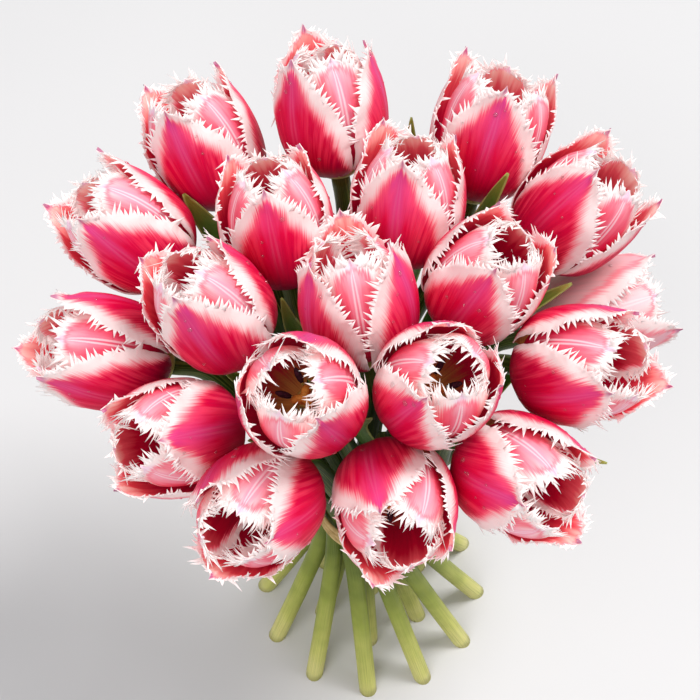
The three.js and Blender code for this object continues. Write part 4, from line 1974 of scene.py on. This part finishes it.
@dataclass
class Leaf:
    """A leaf that clasps its stem, with a channel along its middle.

    Lengths are in mm.
    """

    index: int
    bunch: Bunch
    columns: int = 10
    rows: int = 56
    thickness: float = 1.0
    fold: float = 2.2
    gap: float = 1.2
    clasp_along: float = 12.0
    clasp_aside: float = 2.0
    root_half: float = 1.4
    root_share: float = 0.4
    bend: float = 0.8
    fullness: float = 0.7
    last_share: float = 0.992
    wave: float = 0.35
    waves: float = 9.0
    stem_radius: float = 4.6
    search_steps: int = 401
    vein_fan: float = 0.4
    seeds: float = 90.0

    def __post_init__(self) -> None:
        """Finds the leaf's form and starts its random draws."""
        self.form = LEAVES[self.index]
        self.look = random.Random(f"leaf {self.index}")

    def _curve(self) -> SpaceCurve:
        """The midrib from the stem to the tip.

        Returns:
            The midrib's curve.
        """
        form = self.form
        stalk = stem_curve(form.stem - 1)
        points, directions = stalk.at(np.linspace(0.0, 1.0, self.search_steps))
        here = int(np.argmin(np.abs(points[:, 2] - form.height)))
        spot, along = points[here], directions[here]
        toward = np.array(form.midrib[0], dtype=float) - spot
        aside = unit(toward - along * np.dot(toward, along))
        root = spot + aside * (self.stem_radius + self.gap)
        clasp = root + along * self.clasp_along + aside * self.clasp_aside
        return SpaceCurve(np.array([root, clasp, *form.midrib], dtype=float))

    def build(self, finish: Material) -> Object:
        """Makes the leaf's piece.

        Args:
            finish: The look of a leaf.

        Returns:
            The leaf's object.
        """
        curve = self._curve()
        bm = bmesh.new()
        place, vein = new_layers(bm, "place", "vein")
        bmesh.ops.create_grid(bm, x_segments=self.columns, y_segments=self.rows, size=1.0)
        columns = np.array([vert.co.x for vert in bm.verts])
        shares = (np.array([vert.co.y for vert in bm.verts]) + 1.0) / 2.0 * self.last_share
        wave = np.sin(math.pi * shares**self.bend) ** self.fullness
        grown = smooth(shares, 0.0, self.root_share)
        half = self.root_half + (self.form.width / 2.0 * wave - self.root_half) * grown
        points, tangents = curve.at(shares)
        face = np.array(self.form.face, dtype=float)
        across = unit(np.cross(tangents, face))
        normal = np.cross(across, tangents)
        phase = self.look.uniform(0.0, FULL_TURN)
        ripple = self.wave * np.sin(self.waves * shares + phase + columns) * columns**2
        depth = self.fold * 2.0 * half / self.form.width
        lift = depth * (columns**2 - 0.5) + ripple
        places = points + across * (columns * half)[:, None] + normal * lift[:, None]
        seed = self.look.uniform(0.0, self.seeds)
        for vert, spot, column, share, wide in zip(bm.verts, places, columns, shares, half):
            vert.co = Vector(spot)
            vert[place] = Vector((column, share, (1.0 - abs(column)) * wide))
            vert[vein] = Vector((column * self.vein_fan, share * curve.length, seed))
        bmesh.ops.solidify(bm, geom=list(bm.faces), thickness=self.thickness)
        bmesh.ops.recalc_face_normals(bm, faces=bm.faces)
        for vert in bm.verts:
            vert.co = Vector(self.bunch.metres(np.array(vert.co)))
        name = f"leaf_{self.index + 1:02d}"
        return piece(f"blade_{self.index + 1:02d}", mesh_of(bm, name), [finish], name)


# ---- raffia tie


@dataclass
class RaffiaTie:
    """Turns of flat raffia round the waist of the bunch.

    Lengths are in mm.
    """

    bunch: Bunch
    inside: float = 25.4
    turns: int = 5
    strand_width: float = 2.3
    strand_thickness: float = 0.9
    steps: int = 120
    sides: int = 10
    # waves in a turn and their height, outwards and then upwards
    swells: tuple[Pair, ...] = ((3.0, 0.1), (7.0, 0.06))
    sag: Pair = (2.0, 0.5)

    def __post_init__(self) -> None:
        """Starts the random draws."""
        self.look = random.Random("raffia")

    def build(self, finish: Material) -> Object:
        """Makes the tie's piece.

        Args:
            finish: The look of raffia.

        Returns:
            The tie's object.
        """
        low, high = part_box("tie")
        height = (high.z - low.z) / MM
        middle = (high.z + low.z) / 2.0 / MM
        bm = bmesh.new()
        for turn in range(self.turns):
            self._turn(bm, middle + height * ((turn + 0.5) / self.turns - 0.5))
        bmesh.ops.recalc_face_normals(bm, faces=bm.faces)
        mesh = mesh_of(bm, "tie")
        self.bunch.settle(mesh, Matrix())
        return piece("raffia_tie", mesh, [finish], "tie")

    def _turn(self, bm: BMesh, z: float) -> None:
        """One turn: an oval section spun round the waist, then made a little uneven.

        Args:
            bm: The tie so far.
            z: The turn's height, in mm.
        """
        oval = Matrix.Diagonal((self.strand_thickness, self.strand_width / 2.0, 1.0, 1.0))
        place = Matrix.Translation((self.inside + self.strand_thickness, 0.0, 0.0))
        matrix = place @ Matrix.Rotation(math.pi / 2.0, 4, "X") @ oval
        made = bmesh.ops.create_circle(bm, cap_ends=False, segments=self.sides, radius=1.0, matrix=matrix)
        section = made["verts"]
        edges = [edge for vert in section for edge in vert.link_edges if edge.verts[0] == vert]
        known = set(bm.verts) - set(section)
        spin(bm, [*section, *edges], self.steps)
        phases = [self.look.uniform(0.0, FULL_TURN) for _ in range(3)]
        waves, sag = self.sag
        for vert in set(bm.verts) - known:
            angle = math.atan2(vert.co.y, vert.co.x)
            out = math.hypot(vert.co.x, vert.co.y)
            for (turns, size), phase in zip(self.swells, phases):
                out += size * math.sin(turns * angle + phase)
            vert.co = Vector((
                WAIST_CENTRE[0] + out * math.cos(angle),
                WAIST_CENTRE[1] + out * math.sin(angle),
                z + vert.co.z + sag * math.sin(waves * angle + phases[2]),
            ))


# ---- studio


@dataclass(frozen=True)
class Lamp:
    """A round area light: its place and width in metres, and its power in watts."""

    name: str
    place: Place
    size: float
    power: float


@dataclass
class Studio:
    """The camera, a pale floor and soft light.

    The distance and the point looked at are in mm, and the floor and the lights in metres.
    """

    bunch: Bunch
    elevation: float = math.radians(57.0)
    distance: float = 620.0
    lens: float = 74.93
    sensor: float = 36.0
    look_at: Place = (0.0, 0.0, 260.0)
    floor_size: float = 3.0
    near_clip: float = 0.01
    lamps: tuple[Lamp, ...] = (
        Lamp("key", (1.25, 0.60, 2.80), 1.3, 72.0),
        Lamp("fill", (-0.5, -0.85, 1.3), 1.2, 9.5),
    )
    sky: tuple[str, float] = ("#f4f5f8", 0.48)

    def __post_init__(self) -> None:
        """Finds the point that the camera and the lights look at."""
        self.target = Vector(self.bunch.metres(np.array(self.look_at)))

    def build(self) -> None:
        """Makes everything that isn't part of the object."""
        self._camera()
        self._floor()
        for lamp in self.lamps:
            self._light(lamp)
        self._world()
        bpy.context.scene.view_settings.view_transform = "Standard"

    def _camera(self) -> None:
        """The camera in front of and above the bunch."""
        camera = bpy.data.cameras.new("camera")
        camera.lens = self.lens
        camera.sensor_width = self.sensor
        camera.clip_start = self.near_clip
        thing = stand("camera", camera)
        back = Vector((0.0, -math.cos(self.elevation), math.sin(self.elevation)))
        thing.location = self.target + back * self.distance * MM
        thing.rotation_euler = (math.pi / 2.0 - self.elevation, 0.0, 0.0)
        bpy.context.scene.camera = thing

    def _floor(self) -> None:
        """A plain pale floor."""
        bm = bmesh.new()
        bmesh.ops.create_grid(bm, x_segments=1, y_segments=1, size=self.floor_size / 2.0)
        mesh = mesh_of(bm, "floor")
        mesh.materials.append(FLOOR_FINISH.material())
        stand("floor", mesh)

    def _light(self, lamp: Lamp) -> None:
        """Hangs a light that points at the bunch.

        Args:
            lamp: The light.
        """
        light = bpy.data.lights.new(lamp.name, "AREA")
        light.shape = "DISK"
        light.size = lamp.size
        light.energy = lamp.power
        thing = stand(lamp.name, light)
        thing.location = lamp.place
        aim = self.target - Vector(lamp.place)
        thing.rotation_euler = aim.to_track_quat("-Z", "Y").to_euler()

    def _world(self) -> None:
        """Even pale light from all round."""
        world = bpy.data.worlds.new("studio")
        world.use_nodes = True
        background = world.node_tree.nodes["Background"]
        code, strength = self.sky
        background.inputs["Color"].default_value = tone(code)
        background.inputs["Strength"].default_value = strength
        bpy.context.scene.world = world


# ---- everything


def main() -> None:
    """Builds the bunch and its studio."""
    logging.basicConfig(level=logging.INFO, format="%(message)s")
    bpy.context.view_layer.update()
    bunch = Bunch()
    pith, raffia = PITH_FINISH.material(), RAFFIA_FINISH.material()
    ovary, stigma, anther = OVARY_FINISH.material(), STIGMA_FINISH.material(), ANTHER_FINISH.material()
    stem, leaf = STEM_FINISH.material(), LEAF_FINISH.material()
    tepals = [OUTER_FINISH.material(), INNER_FINISH.material(), ovary]
    blooms = []
    for index in range(len(FLOWERS)):
        Stem(index, bunch).build([stem, ovary, stigma, pith, anther])
        blooms.append(Bloom(index, bunch).build(tepals))
    DewDrops().build(blooms, WaterFinish().material())
    for index in range(len(LEAVES)):
        Leaf(index, bunch).build(leaf)
    RaffiaTie(bunch).build(raffia)
    Studio(bunch).build()


if __name__ == "__main__":
    main()
